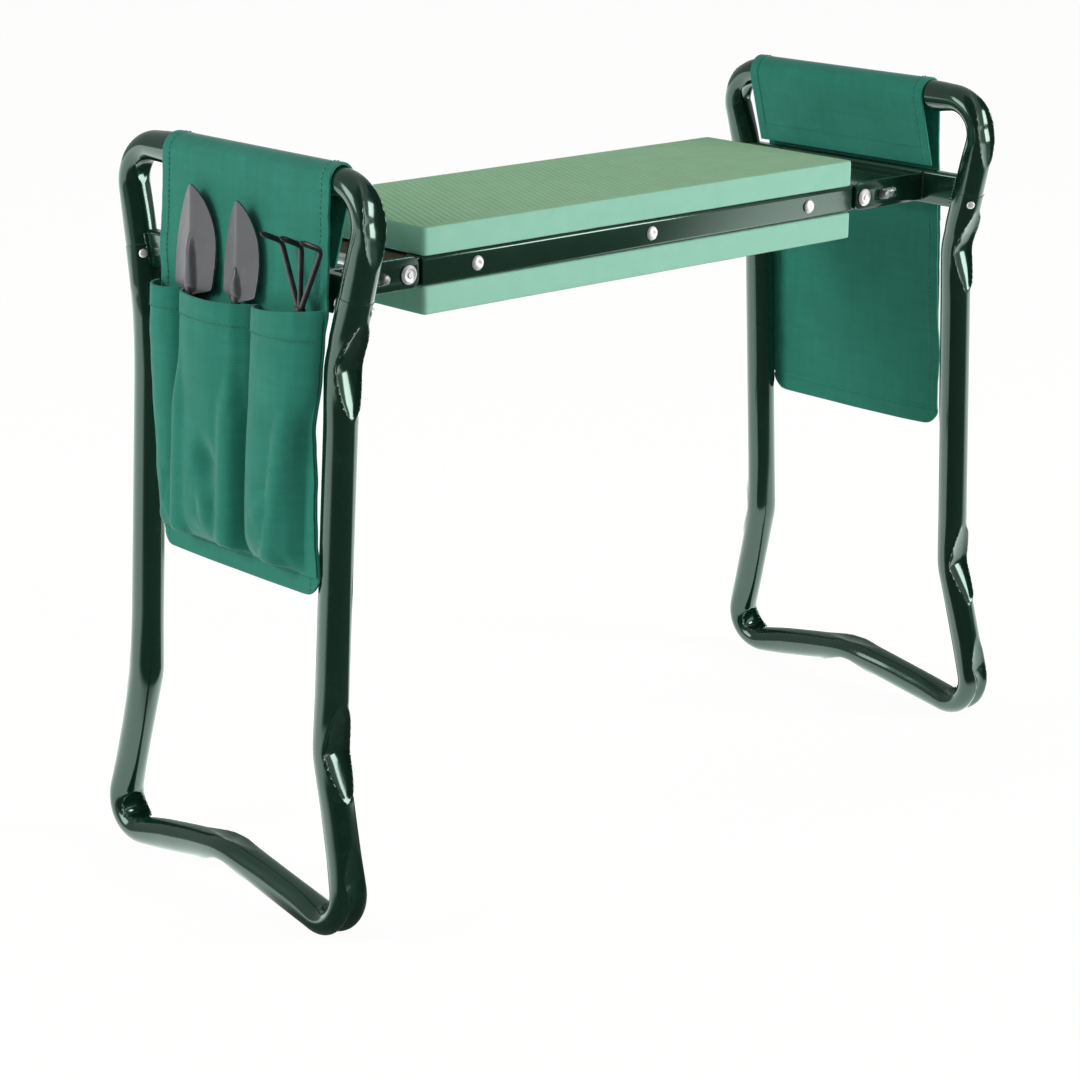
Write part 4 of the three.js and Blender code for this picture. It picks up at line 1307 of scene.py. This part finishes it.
@dataclass
class Pouch:
    """A cloth pouch hung over a hand bar: one long panel with three pockets sewn on."""

    end: End
    full: bool
    low: float = 221.0
    bar_z: float = 472.5
    wrap: float = 11.95
    flap: float = 50.0
    tuck: float = 0.22
    start: float = -71.0
    stop: float = 97.0
    cloth: float = 0.9
    air: float = 0.5
    mouth: float = 392.0
    floor: float = 235.0
    hem: float = 14.0
    pockets: tuple[Pocket, ...] = (
        Pocket("narrow", -70.6, -39.3, 13.6, 5.5),
        Pocket("wide", -39.0, 31.9, 17.6, 6.5),
        Pocket("side", 32.3, 96.4, 17.6, 6.5, margin=12.0),
    )

    @property
    def drop(self) -> float:
        """The panel's length from its hem up to the hand bar."""
        return self.bar_z - self.low

    @property
    def arc(self) -> float:
        """The panel's length round the bar."""
        return self.wrap * (math.pi + self.tuck)

    @property
    def length(self) -> float:
        """The panel's whole length, flap included."""
        return self.drop + self.arc + self.flap

    def run(self, t: float) -> tuple[float, float]:
        """Returns the panel's place off the frame and up it, at a distance from its lower hem."""
        if t < self.drop:
            return self.wrap, self.low + t
        if t < self.drop + self.arc:
            angle = (t - self.drop) / self.wrap
            return self.wrap * math.cos(angle), self.bar_z + self.wrap * math.sin(angle)
        rest = t - self.drop - self.arc
        angle = math.pi + self.tuck
        return (
            self.wrap * math.cos(angle) + rest * math.sin(self.tuck),
            self.bar_z + self.wrap * math.sin(angle) - rest * math.cos(self.tuck),
        )

    def crumple(self, y: float, t: float) -> float:
        """Returns how far the panel's soft creases stand out at a place."""
        seed = 21.0 if self.end.side is Side.LEFT else 44.0
        level = 0.9 * ripple(y, t * 2.6, 60, seed) + 0.5 * ripple(y * 0.6, t * 3.0, 22, seed + 5)
        near_bar = window(t - (self.drop - 26), 60)
        low_part = window(t, 90)
        return level * (0.35 + 0.8 * near_bar + 0.5 * low_part)

    def sway(self, t: float, share: float) -> float:
        """Returns how far the hanging panel moves along the bar, at a height and a share of its width."""
        seed = 5.0 if self.end.side is Side.LEFT else 13.0
        low = 1.6 * ripple(t, 0, 36, seed) + 0.8 * ripple(t, 0, 14, seed + 3)
        high = 2.2 * ripple(t, 50, 30, seed) + 1.3 * ripple(t, 50, 13, seed + 3)
        free = min(1.0, max(0.0, (self.drop - t) / 60)) * min(1.0, max(t, 0.0) / 25)
        if not self.full:
            return free * (low * (1 - share) + high * share)
        low += 9.0 * window(t + 20, 175)
        high -= 6.5 * window(t - 95, 95)
        far, near = max(0.0, 1 - share / 0.19), max(0.0, (share - 0.90) / 0.10)
        return free * high * near + max(free, window(t, 60)) * low * far

    def corner_lift(self, t: float, distance_in: float) -> float:
        """Returns how far the rounded lower corners lift the hem at a place."""
        if t >= 12 or distance_in >= 12:
            return 0.0
        return (12 - math.sqrt(max(0.0, 144 - (12 - distance_in) ** 2))) * (1 - t / 12)

    def edge_rows(self) -> tuple[np.ndarray, np.ndarray]:
        """Returns the distances along and across the panel where its grid lines lie, close at hems."""
        along = [0, 0.5, 1.2, 4, 7.5, self.hem - 3.2, self.hem - 0.6, self.hem, self.hem + 0.5]
        along += list(np.arange(self.hem + 3.5, self.drop - 2, 3.0))
        along += list(np.linspace(self.drop, self.drop + self.arc, 22))
        flap = np.array([3, 8, 13, 18, 23, 28, 33, 35.4, 36, 36.6, 40, 44, 48, 49.4, 50.0])
        along += list(self.drop + self.arc + flap)
        width = self.stop - self.start
        across = [0, 0.5, 1.2, 4, 7.4, 8, 8.5] + list(np.arange(11.5, width - 11, 3.0))
        across += [width - 8.5, width - 8, width - 7.4, width - 4, width - 1.2, width - 0.5, width]
        return np.array(along), np.array(across) / width

    def panel_grid(self) -> tuple[np.ndarray, np.ndarray]:
        """Lays out the panel's middle surface and its thickness on each side."""
        along, across = self.edge_rows()
        grid = np.zeros((len(along), len(across), 3))
        thick = np.zeros((len(along), len(across)))
        for i, t in enumerate(along):
            off, z = self.run(t)
            beyond = min(1.0, max(0.0, (t - self.drop) / self.arc))
            start = self.start - 4.0 * beyond * (self.end.side is Side.RIGHT)
            stop = self.stop - (9.0 if self.end.side is Side.LEFT else 3.0) * beyond
            if self.end.side is Side.RIGHT:
                stop -= 3.5 * window(t, 150)
            for j, share in enumerate(across):
                y = start + share * (stop - start) + self.sway(t, share)
                distance_in = min(share, 1 - share) * (stop - start)
                up, out = z + self.corner_lift(t, distance_in), off
                flat = window(max(0.0, abs(t - self.drop - self.arc / 2) - self.arc / 2), 16)
                out += self.crumple(y, t) * (1 - 0.75 * flat) * (1 if t < self.drop else 0.55)
                if t < self.drop and self.end.side is Side.RIGHT:
                    out += 2.2 * window(share, 0.25) * window(t - 40, 90)
                    out -= 1.2 * window(share - 0.6, 0.3) * window(t - 90, 90)
                sag = 0.9 * math.sin(math.pi * share) * (1 if t < self.hem * 2 else 0)
                grid[i, j] = (out, y, up - sag * (1 - min(t, 2 * self.hem) / (2 * self.hem)))
                hemmed = distance_in < 8 or t < self.hem or t > self.length - self.hem
                thick[i, j] = self.cloth / 2 + (0.42 if hemmed else 0.0)
        return grid, thick

    def stitches(self, points: np.ndarray, normals: np.ndarray, lift: float = 0.25) -> Skin | None:
        """Lays small stitches along a line on the cloth."""
        steps = np.concatenate([[0], np.cumsum(np.linalg.norm(np.diff(points, axis=0), axis=1))])
        skin = None
        for k in range(int(steps[-1] / 3.4)):
            ends = []
            for distance in (k * 3.4 + 0.5, k * 3.4 + 1.8, k * 3.4 + 3.1):
                point = np.array([np.interp(distance, steps, points[:, i]) for i in range(3)])
                normal = np.array([np.interp(distance, steps, normals[:, i]) for i in range(3)])
                ends.append((point, normal / max(np.linalg.norm(normal), 1e-6)))
            heights = (-0.18, lift, -0.18)
            path = np.array([p + n * h for (p, n), h in zip(ends, heights)])
            made = rope(path, np.array([0.22, 0.34, 0.22]), 6, 0.8)
            skin = made if skin is None else skin.plus(made)
        return skin

    def panel(self) -> None:
        """Builds the panel and the stitches along its hems."""
        grid, thick = self.panel_grid()
        name = f"{self.end.name}_pouch_panel"
        piece = build(f"{name}_cloth", thick_sheet(grid, thick, thick).put(self.end.leaning()), CLOTH, 50)
        piece.modifiers.new("smooth_cloth", "SUBSURF").levels = 1
        piece.modifiers["smooth_cloth"].render_levels = 1
        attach(piece, self.end.legs)
        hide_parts(name)
        normals = slopes(grid)
        along, across = self.edge_rows()
        width = self.stop - self.start
        rows = [int(np.argmin(abs(along - t))) for t in (self.hem - 3.2, self.length - self.hem + 1.5)]
        columns = [int(np.argmin(abs(across * width - t))) for t in (6.8, width - 6.8)]
        lines = [(grid[i, 1:-1], normals[i, 1:-1], thick[i, 1:-1]) for i in rows]
        lines += [(grid[2:-2, j], normals[2:-2, j], thick[2:-2, j]) for j in columns]
        threads = None
        for line, normal, deep in lines:
            for way in (1, -1):
                made = self.stitches(line + way * normal * deep[:, None], way * normal)
                threads = made if threads is None else threads.plus(made)
        thread = build(f"{name}_stitching", threads.put(self.end.leaning()), THREAD)
        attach(thread, self.end.legs)
        f"{self.end.name}_hand_bar"

    def swell(self, pocket: Pocket, y: float, z: float) -> float:
        """Returns how far a pocket's front stands off the panel at a place.

        Args:
            pocket: The pocket.
            y: The place along the hand bar.
            z: The place up the frame.

        Returns:
            The distance from the seam's level, in millimetres.
        """
        height = (z - self.floor) / (self.mouth - self.floor)
        bottom = min(1.0, max(0.0, (z - self.floor) / (21.0 if self.full else 26.0)))
        rise = math.sqrt(max(0.0, 1 - (1 - bottom) ** 2))
        start, stop = pocket.start, pocket.stop
        if self.full and pocket.margin:
            tuck = min(1.0, max(0.0, (352 - z) / 45))
            stop -= pocket.margin * tuck * tuck * (3 - 2 * tuck)
        middle, half = (start + stop) / 2, (stop - start) / 2
        share = abs(y - middle) / half
        fullness, shoulder = (2.3, 1.7) if self.full else (2.6, 1.6)
        shape = max(0.0, 1 - min(share, 1.0) ** fullness) ** (1 / shoulder)
        depth = (pocket.depth if self.full else pocket.slack) * rise
        seed = pocket.depth + (2 if self.full else 31)
        if self.full:
            depth *= 1 - 0.10 * max(0.0, height - 0.75) / 0.25 * (pocket.word == "side")
            if pocket.word == "narrow":
                depth *= 0.50 + 0.50 * min(1.0, height * 1.25)
        folds = 0.5 * ripple(y * 1.2, z * 0.35, 22, seed) + 0.35 * ripple(y + z * 0.7, z * 0.5, 15, seed + 4)
        low = window(z - self.floor - 18, 60)
        folds += low * (0.9 * ripple(y * 1.5, z, 15, seed + 8) + 0.5 * ripple(y * 2.2, z * 1.6, 9, seed + 9))
        folds *= 1.0 if self.full else 0.8
        return (depth + folds + self.features(pocket, y, z)) * shape

    def over_handles(self, y: float, z: float) -> float:
        """Returns how far the tool handles in the pockets push the cloth out at a place."""
        grip, need = Grip(), 0.0
        if z <= grip.low:
            return need
        height = (z - grip.low) / grip.length
        eased = min(1.0, max(0.0, (height - 0.80) / 0.45))
        thin = eased * eased * (3 - 2 * eased)
        reach = (grip.radius + 1.9) * (1 - thin) + 4.6 * thin
        fork = Cultivator()
        leaned = fork.y - math.tan(fork.lean) * (fork.base - z)
        for middle in (TROWEL_Y, TRANSPLANTER_Y, leaned):
            across = abs(y - middle)
            if across < reach:
                close = min(1.0, (z - grip.low + 1.5) / 5)
                bulge = math.sqrt(reach * reach - across * across) * close
                off = TOOL_OFF + bulge + self.cloth / 2 + self.air
                need = max(need, off - self.pocket_base)
        return need

    @property
    def pocket_base(self) -> float:
        """The level of the pockets' seams off the frame."""
        return self.wrap + self.cloth * 1.5 + 0.45

    def features(self, pocket: Pocket, y: float, z: float) -> float:
        """Returns the larger folds and dents of a full pocket's front."""
        if not self.full:
            return 0.0
        if pocket.word == "wide":
            dent = -8.0 * window(math.hypot((y - 2) / 14, (z - 287) / 26), 1.0)
            ridge = 2.0 * window(y - (-8 - 0.30 * (z - 300)), 8) * window(z - 268, 38)
            hollow = -4.0 * window(y - (14 - 0.25 * (z - 262)), 11) * window(z - 259, 30)
            return dent + ridge + hollow
        if pocket.word == "side":
            folds = 2.0 * window((z - 270) - 0.55 * (y - 60), 9) * window(y - 62, 17)
            folds -= 2.3 * window((z - 284) - 0.55 * (y - 60), 9) * window(y - 64, 16)
            return folds + 1.6 * window((z - 254) + 0.5 * (y - 70), 7) * window(y - 76, 13)
        return -1.6 * window(z - 266 - 0.6 * (y + 50), 12) * window(y + 48, 12)

    def pocket_grid(self, pocket: Pocket) -> tuple[np.ndarray, np.ndarray, np.ndarray]:
        """Lays out a pocket's middle surface, its thickness and its rows' heights."""
        rows = [self.floor - v for v in (1.6, 0.9, 0)]
        rows += [self.floor + v for v in (0.6, 1.6, 3, 5, 7.5, 10.5, 14, 17.5, 21.5)]
        rows += list(np.arange(self.floor + 25, self.mouth - 18, 2.6))
        rows += [self.mouth - v for v in (15.6, 14.8, 14.2, 10, 6, 3, 1.2, 0.5, 0)]
        span = pocket.stop - pocket.start
        share = 0.5 - 0.5 * np.cos(np.linspace(0, math.pi, 17))
        edge = np.concatenate([[0, 0.6, 1.2], 1.2 + (0.5 * span - 1.2) * share[1:]])
        edge = edge[edge < span / 2]
        columns = np.concatenate([pocket.start + edge, pocket.stop - edge[::-1]])
        width = self.stop - self.start
        grid = np.zeros((len(rows), len(columns), 3))
        thick = np.zeros((len(rows), len(columns)))
        for i, z in enumerate(rows):
            droop = 0.0
            for j, y in enumerate(columns):
                share_across = (y - self.start) / width
                placed = y + self.sway(z - self.low, share_across)
                middle = (y - pocket.start) / span
                out = self.swell(pocket, y, z) if z > self.floor else 0.0
                if self.full:
                    clear = min(1.0, min(y - pocket.start, pocket.stop - y) / 2.5)
                    out = max(out, self.over_handles(placed, z) * clear)
                lift = self.corner_lift(z - self.low, min(y - self.start, self.stop - y))
                if z > self.mouth - 20:
                    raised = 6.5 * middle if pocket.word == "side" else 0.0
                    droop = (raised - 0.9 * math.sin(math.pi * middle)) * (z - self.mouth + 20) / 20
                seam = self.crumple(y, z - self.low)
                grid[i, j] = (self.pocket_base + seam + out, placed, z + droop + lift)
                thick[i, j] = self.cloth / 2 + (0.45 if z > self.mouth - 14.5 else 0.0)
        return grid, thick, np.array(rows)

    def pocket(self, pocket: Pocket) -> None:
        """Builds a pocket and the stitches along its mouth."""
        grid, thick, rows = self.pocket_grid(pocket)
        name = f"{self.end.name}_{pocket.word}_pocket"
        piece = build(f"{name}_cloth", thick_sheet(grid, thick, thick).put(self.end.leaning()), CLOTH, 50)
        piece.modifiers.new("smooth_cloth", "SUBSURF").levels = 1
        piece.modifiers["smooth_cloth"].render_levels = 1
        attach(piece, self.end.legs)
        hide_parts(name)
        normals = slopes(grid)
        threads = None
        for z in (self.mouth - 12.6,):
            i = int(np.argmin(abs(rows - z)))
            line = grid[i] + normals[i] * thick[i][:, None]
            made = self.stitches(line[1:-1], normals[i][1:-1])
            threads = made if threads is None else threads.plus(made)
        thread = build(f"{name}_stitching", threads.put(self.end.leaning()), THREAD)
        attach(thread, self.end.legs)
        f"{self.end.name}_pouch_panel_cloth"

    def make(self) -> None:
        """Builds the panel and its pockets."""
        self.panel()
        for pocket in self.pockets:
            self.pocket(pocket)


# ------------------------------------------------------------------ hand tools
@dataclass
class Blade:
    """A pressed blade folded along its middle, with its stem.

    Attributes:
        name: The tool's word.
        y: Its place along the hand bar.
        width: Its widest width.
        base: Where the blade starts, up the frame.
        tip: Its point.
        fold: How far the ridge stands over the edges.
        rib: Length of the pressed rib up from the base.
        rib_width: Half the rib's width at its foot.
        foot: The blade's width at its base, as a share of the widest.
        thick: The plate's thickness.
        stem: The stem's radius.
        shoulder: How far down the shoulders run to the stem, as a share of the blade's length.
    """

    name: str
    y: float
    width: float
    base: float
    tip: float
    fold: float
    rib: float
    rib_width: float
    foot: float = 0.80
    thick: float = 1.5
    stem: float = 3.0
    shoulder: float = 0.10

    def half_width(self, share: float) -> float:
        """Returns the half width at a share of the length: full and straight low down, then a point."""
        if share < 0:
            eased = 0.5 + 0.5 * math.cos(math.pi * min(-share / self.shoulder, 1.0))
            return 2.4 + (self.width / 2 * self.foot - 2.4) * eased
        foot = self.foot + (1 - self.foot) * math.sin(min(share / 0.32, 1.0) * math.pi / 2)
        taper = max(0.0, (share - 0.30) / 0.70)
        return self.width / 2 * foot * max(0.0, 1 - taper**2.1) ** 0.80

    def skin(self) -> Skin:
        """Builds the blade and stem in the leaning frame's axes."""
        length = self.tip - self.base
        point = 0.9 + 0.1 * np.sin(np.linspace(0, math.pi / 2, 12))[1:]
        shares = np.concatenate([np.linspace(-0.24, 0.9, 52), point])
        across = np.linspace(-1, 1, 29)
        grid = np.zeros((len(shares), len(across), 3))
        for i, share in enumerate(shares):
            half = max(self.half_width(share), 0.25)
            for j, part in enumerate(across):
                y = half * part
                slope = self.fold / (self.width / 2)
                out = -slope * (math.sqrt(y * y + 0.5) - 0.7) + 0.008 * y * y * (1 - max(share, 0.0))
                run = share * length
                rib = self.rib_width * max(0.0, 1 - max(run, 0.0) / self.rib) ** 0.6
                if rib > 0.3:
                    fade = max(0.0, 1 + min(share, 0.0) / 0.06) * max(0.0, 1 - (y / rib) ** 4)
                    out += 2.3 * fade * min(1.0, (1 - max(run, 0.0) / self.rib) * 2.5)
                curl = 2.0 * (max(share, 0.0) - 0.55) ** 2 - 0.6
                grid[i, j] = (out + curl, y, self.base + run)
        blade = thick_sheet(grid, self.thick / 2, self.thick / 2)
        low, top = STEM_LOW - self.base, 16.0
        profile = [(0, low), (self.stem, low), (self.stem, -3), (self.stem * 1.02, 0)]
        profile += [(self.stem * 0.9, top * 0.6), (self.stem * 0.5, top), (0, top + 1)]
        stem = lathe(profile, 28).put(shift(x=-0.6, z=self.base))
        return blade.plus(stem).put(shift(x=TOOL_OFF, y=self.y))

    def make(self) -> None:
        """Builds the blade and its handle."""
        leaning = End(Side.LEFT).leaning()
        piece = build(f"{self.name}_blade_pressing", self.skin().put(leaning), BLADE, 55)
        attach(piece, self.name)
        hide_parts(f"{self.name}_blade")
        grip = Grip().skin().put(leaning @ shift(TOOL_OFF, self.y, 0))
        handle = build(f"{self.name}_handle_grip", grip, GRIP)
        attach(handle, self.name)
        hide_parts(f"{self.name}_handle")


@dataclass
class Grip:
    """A ribbed plastic handle with a rounded butt."""

    radius: float = 6.7
    length: float = 97.5
    low: float = 237.0

    def skin(self) -> Skin:
        """Builds the handle on the Z axis."""
        r, n = self.radius, self.length
        body = [(0, 0), (r * 0.45, 0.15), (r * 0.72, 0.9), (r * 0.9, 2.4), (r * 0.99, 5), (r, 8)]
        for k in range(9):
            z = n * 0.16 + k * n * 0.055
            ease = r * (0.965 - 0.10 * math.sin(math.pi * k / 8))
            body += [(ease, z), (ease, z + 2.6), (ease - 0.45, z + 3.2), (ease - 0.45, z + 4.6)]
        body += [(r * 0.97, n * 0.72), (r * 0.93, n * 0.8), (r * 0.78, n * 0.92), (r * 0.64, n - 0.6)]
        body += [(r * 0.58, n), (3.25, n), (3.2, n - 4), (0, n - 4)]
        return lathe(body, 36).put(shift(z=self.low))


@dataclass
class Cultivator:
    """Three bent tines fanned from one stem, on a handle that leans in the pocket."""

    y: float = 84.0
    base: float = 399.0
    knuckle: float = 436.0
    spread: float = 19.0
    reach: float = 17.0
    rise: float = 6.0
    radius: float = 1.75
    lean: float = 0.115

    def tine(self, fan: int) -> Skin:
        """Builds one tine: a flattened rod, bent at its knuckle and drawn to a point."""
        foot = np.array([0.0, fan * 1.1, self.base - 6.0])
        knee = np.array([0.0, fan * self.spread, self.knuckle])
        tip = np.array([self.reach - 0.8, fan * self.spread, self.knuckle + self.rise])
        back, on = foot - knee, tip - knee
        back, on = back / np.linalg.norm(back), on / np.linalg.norm(on)
        path = [foot, foot + np.array([0, 0, 5.0])]
        start, stop = knee + back * 5.0, knee + on * 4.0
        for k in range(13):
            t = k / 12
            path.append((1 - t) ** 2 * start + 2 * t * (1 - t) * knee + t * t * stop)
        path += [tip - on * 4.0, tip - on * 1.5, tip]
        radius = [self.radius] * (len(path) - 3) + [self.radius, self.radius * 0.8, self.radius * 0.35]
        return rope(np.array(path), np.array(radius), 14)

    def make(self) -> None:
        """Builds the tines, the ferrule and the handle."""
        leaning = End(Side.LEFT).leaning() @ shift(TOOL_OFF, self.y, 0)
        tilted = shift(z=self.base) @ turn("X", -self.lean) @ shift(z=-self.base)
        profile = [(0, STEM_LOW), (3.0, STEM_LOW), (3.0, self.base - 9), (3.5, self.base - 7)]
        profile += [(3.6, self.base - 2), (3.1, self.base), (0, self.base + 0.5)]
        skin = lathe(profile, 28).put(tilted)
        for fan in (-1, 0, 1):
            skin = skin.plus(self.tine(fan))
        piece = build("cultivator_head_tines", skin.put(leaning), TINE)
        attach(piece, "cultivator")
        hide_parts("cultivator_head")
        handle = build("cultivator_handle_grip", Grip().skin().put(leaning @ tilted), GRIP)
        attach(handle, "cultivator")
        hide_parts("cultivator_handle")


# ------------------------------------------------------------------ studio
@dataclass
class Studio:
    """A plain pale floor, soft lights and the camera.

    Attributes:
        place: The camera's place, in metres.
        yaw: Its heading to the right of +Y, in degrees.
        pitch: Its tilt, in degrees.
        roll: Its roll, in degrees.
        lens: Its focal length, for a sensor 36 mm wide.
        pale_heading: The way to the middle of the pale side of the room, from +X towards +Y, in degrees.
        pale_half: Half the angle that the pale side takes, in degrees.
    """

    place: tuple[float, float, float] = (-1.3307, -1.4105, 0.7601)
    yaw: float = 42.608
    pitch: float = -16.774
    roll: float = 0.396
    lens: float = 95.73
    pale_heading: float = 72.0
    pale_half: float = 112.5

    def camera(self) -> None:
        """Sets up the camera."""
        yaw, pitch, roll = (math.radians(v) for v in (self.yaw, self.pitch, self.roll))
        ahead = Vector((math.sin(yaw) * math.cos(pitch), math.cos(yaw) * math.cos(pitch), math.sin(pitch)))
        right = Vector((math.cos(yaw), -math.sin(yaw), 0))
        up = right.cross(ahead)
        turned_right = right * math.cos(roll) + up * math.sin(roll)
        turned_up = up * math.cos(roll) - right * math.sin(roll)
        data = bpy.data.cameras.new("camera")
        data.lens, data.sensor_width, data.clip_end = self.lens, 36.0, 60.0
        camera = bpy.data.objects.new("camera", data)
        matrix = Matrix((turned_right, turned_up, -ahead)).transposed().to_4x4()
        matrix.translation = Vector(self.place)
        camera.matrix_world = matrix
        bpy.context.scene.collection.objects.link(camera)
        bpy.context.scene.camera = camera

    def floor(self) -> None:
        """Lays the floor: pale, and dim in reflections so that gloss stays dark."""
        mesh = bpy.data.meshes.new("floor")
        size = 14.0
        corners = [(-size, -size, 0), (size, -size, 0), (size, size, 0), (-size, size, 0)]
        mesh.from_pydata(corners, [], [(0, 1, 2, 3)])
        floor = bpy.data.objects.new("floor", mesh)
        bpy.context.scene.collection.objects.link(floor)
        material = FLOOR.material()
        tree = material.node_tree
        shader, output = tree.nodes["Principled BSDF"], tree.nodes["Material Output"]
        glow = tree.nodes.new("ShaderNodeEmission")
        glow.inputs["Color"].default_value = (1, 1, 0.995, 1)
        glow.inputs["Strength"].default_value = 1.04
        dim = tree.nodes.new("ShaderNodeEmission")
        where = tree.nodes.new("ShaderNodeTexCoord").outputs["Object"]
        tree.links.new(self.surround(tree, where, 0.12, 2.3), dim.inputs["Strength"])
        ray = tree.nodes.new("ShaderNodeLightPath")
        seen = tree.nodes.new("ShaderNodeMixShader")
        tree.links.new(ray.outputs["Is Camera Ray"], seen.inputs["Fac"])
        glossy = tree.nodes.new("ShaderNodeMixShader")
        tree.links.new(ray.outputs["Is Glossy Ray"], glossy.inputs["Fac"])
        tree.links.new(shader.outputs[0], glossy.inputs[1])
        tree.links.new(dim.outputs[0], glossy.inputs[2])
        blend = tree.nodes.new("ShaderNodeMixShader")
        blend.inputs["Fac"].default_value = 0.92
        tree.links.new(shader.outputs[0], blend.inputs[1])
        tree.links.new(glow.outputs[0], blend.inputs[2])
        tree.links.new(glossy.outputs[0], seen.inputs[1])
        tree.links.new(blend.outputs[0], seen.inputs[2])
        tree.links.new(seen.outputs[0], output.inputs["Surface"])
        mesh.materials.append(material)

    def surround(self, tree: Tree, where: Socket, dark: float, bright: float) -> Socket:
        """Lets gloss see a pale room on three sides and a dark one on the fourth.

        Args:
            tree: The node tree.
            where: A place or a direction.
            dark: The strength on the dark side.
            bright: The strength elsewhere.

        Returns:
            The strength at that place.
        """
        level = tree.nodes.new("ShaderNodeVectorMath")
        level.operation = "MULTIPLY"
        level.inputs[1].default_value = (1, 1, 0)
        tree.links.new(where, level.inputs[0])
        unit = tree.nodes.new("ShaderNodeVectorMath")
        unit.operation = "NORMALIZE"
        tree.links.new(level.outputs[0], unit.inputs[0])
        facing = tree.nodes.new("ShaderNodeVectorMath")
        facing.operation = "DOT_PRODUCT"
        heading = math.radians(self.pale_heading)
        facing.inputs[1].default_value = (math.cos(heading), math.sin(heading), 0)
        tree.links.new(unit.outputs[0], facing.inputs[0])
        ramp = tree.nodes.new("ShaderNodeMapRange")
        ramp.interpolation_type = "SMOOTHSTEP"
        edge = math.cos(math.radians(self.pale_half))
        for label, value in (("From", edge - 0.13), ("To", dark)):
            ramp.inputs[f"{label} Min"].default_value = value
        for label, value in (("From", edge + 0.13), ("To", bright)):
            ramp.inputs[f"{label} Max"].default_value = value
        tree.links.new(facing.outputs["Value"], ramp.inputs["Value"])
        return ramp.outputs[0]

    def lamp(self, name: str, place: Vector, aim: Vector, size: tuple[float, float], power: float) -> None:
        """Hangs a soft rectangular light.

        Args:
            name: Its name.
            place: Where it hangs, in metres.
            aim: What it points at.
            size: Its width and height.
            power: Its power in watts.
        """
        data = bpy.data.lights.new(name, "AREA")
        data.shape, data.size, data.size_y, data.energy = "RECTANGLE", size[0], size[1], power
        lamp = bpy.data.objects.new(name, data)
        lamp.location = place
        lamp.rotation_euler = (aim - place).to_track_quat("-Z", "Y").to_euler()
        bpy.context.scene.collection.objects.link(lamp)

    def lights(self) -> None:
        """Hangs the lights and sets the sky: bright for soft shade, dark in reflections."""
        aim = Vector((0, 0, 0.3))
        self.lamp("key", Vector((-2.9, 0.9, 1.8)), aim, (1.5, 1.5), 46)
        self.lamp("front", Vector((2.0, -2.7, 1.2)), aim, (1.2, 1.4), 66)
        world = bpy.data.worlds.new("sky")
        world.use_nodes = True
        bpy.context.scene.world = world
        tree = world.node_tree
        bright = tree.nodes["Background"]
        bright.inputs["Color"].default_value = (1, 1, 1, 1)
        bright.inputs["Strength"].default_value = 0.30
        dark = tree.nodes.new("ShaderNodeBackground")
        where = tree.nodes.new("ShaderNodeTexCoord").outputs["Generated"]
        tree.links.new(self.surround(tree, where, 0.06, 0.55), dark.inputs["Strength"])
        ray = tree.nodes.new("ShaderNodeLightPath")
        mix = tree.nodes.new("ShaderNodeMixShader")
        tree.links.new(ray.outputs["Is Glossy Ray"], mix.inputs["Fac"])
        tree.links.new(bright.outputs[0], mix.inputs[1])
        tree.links.new(dark.outputs[0], mix.inputs[2])
        tree.links.new(mix.outputs[0], tree.nodes["World Output"].inputs["Surface"])
        bpy.context.scene.view_settings.view_transform = "Standard"

    def make(self) -> None:
        """Sets up the studio."""
        self.camera()
        self.floor()
        self.lights()


def main() -> None:
    """Builds every sub-assembly in order."""
    logging.basicConfig(level=logging.INFO, format="%(message)s")
    assemblies = [
        Studio(),
        FoamPad("upper_foam_pad", True),
        FoamPad("lower_foam_pad", False),
        SeatFrame(),
        LegFrame(End(Side.LEFT)),
        LegFrame(End(Side.RIGHT)),
        Pouch(End(Side.LEFT), True),
        Pouch(End(Side.RIGHT), False),
        Blade("trowel", TROWEL_Y, 40, 395.0, 458, 7.5, 34, 6.0, foot=0.94),
        Blade("transplanter", TRANSPLANTER_Y, 34, 397.0, 454, 6.5, 15, 4.5, foot=0.92),
        Cultivator(),
    ]
    for assembly in assemblies:
        assembly.make()
        LOG.info("built %s", type(assembly).__name__)


if __name__ == "__main__":
    main()
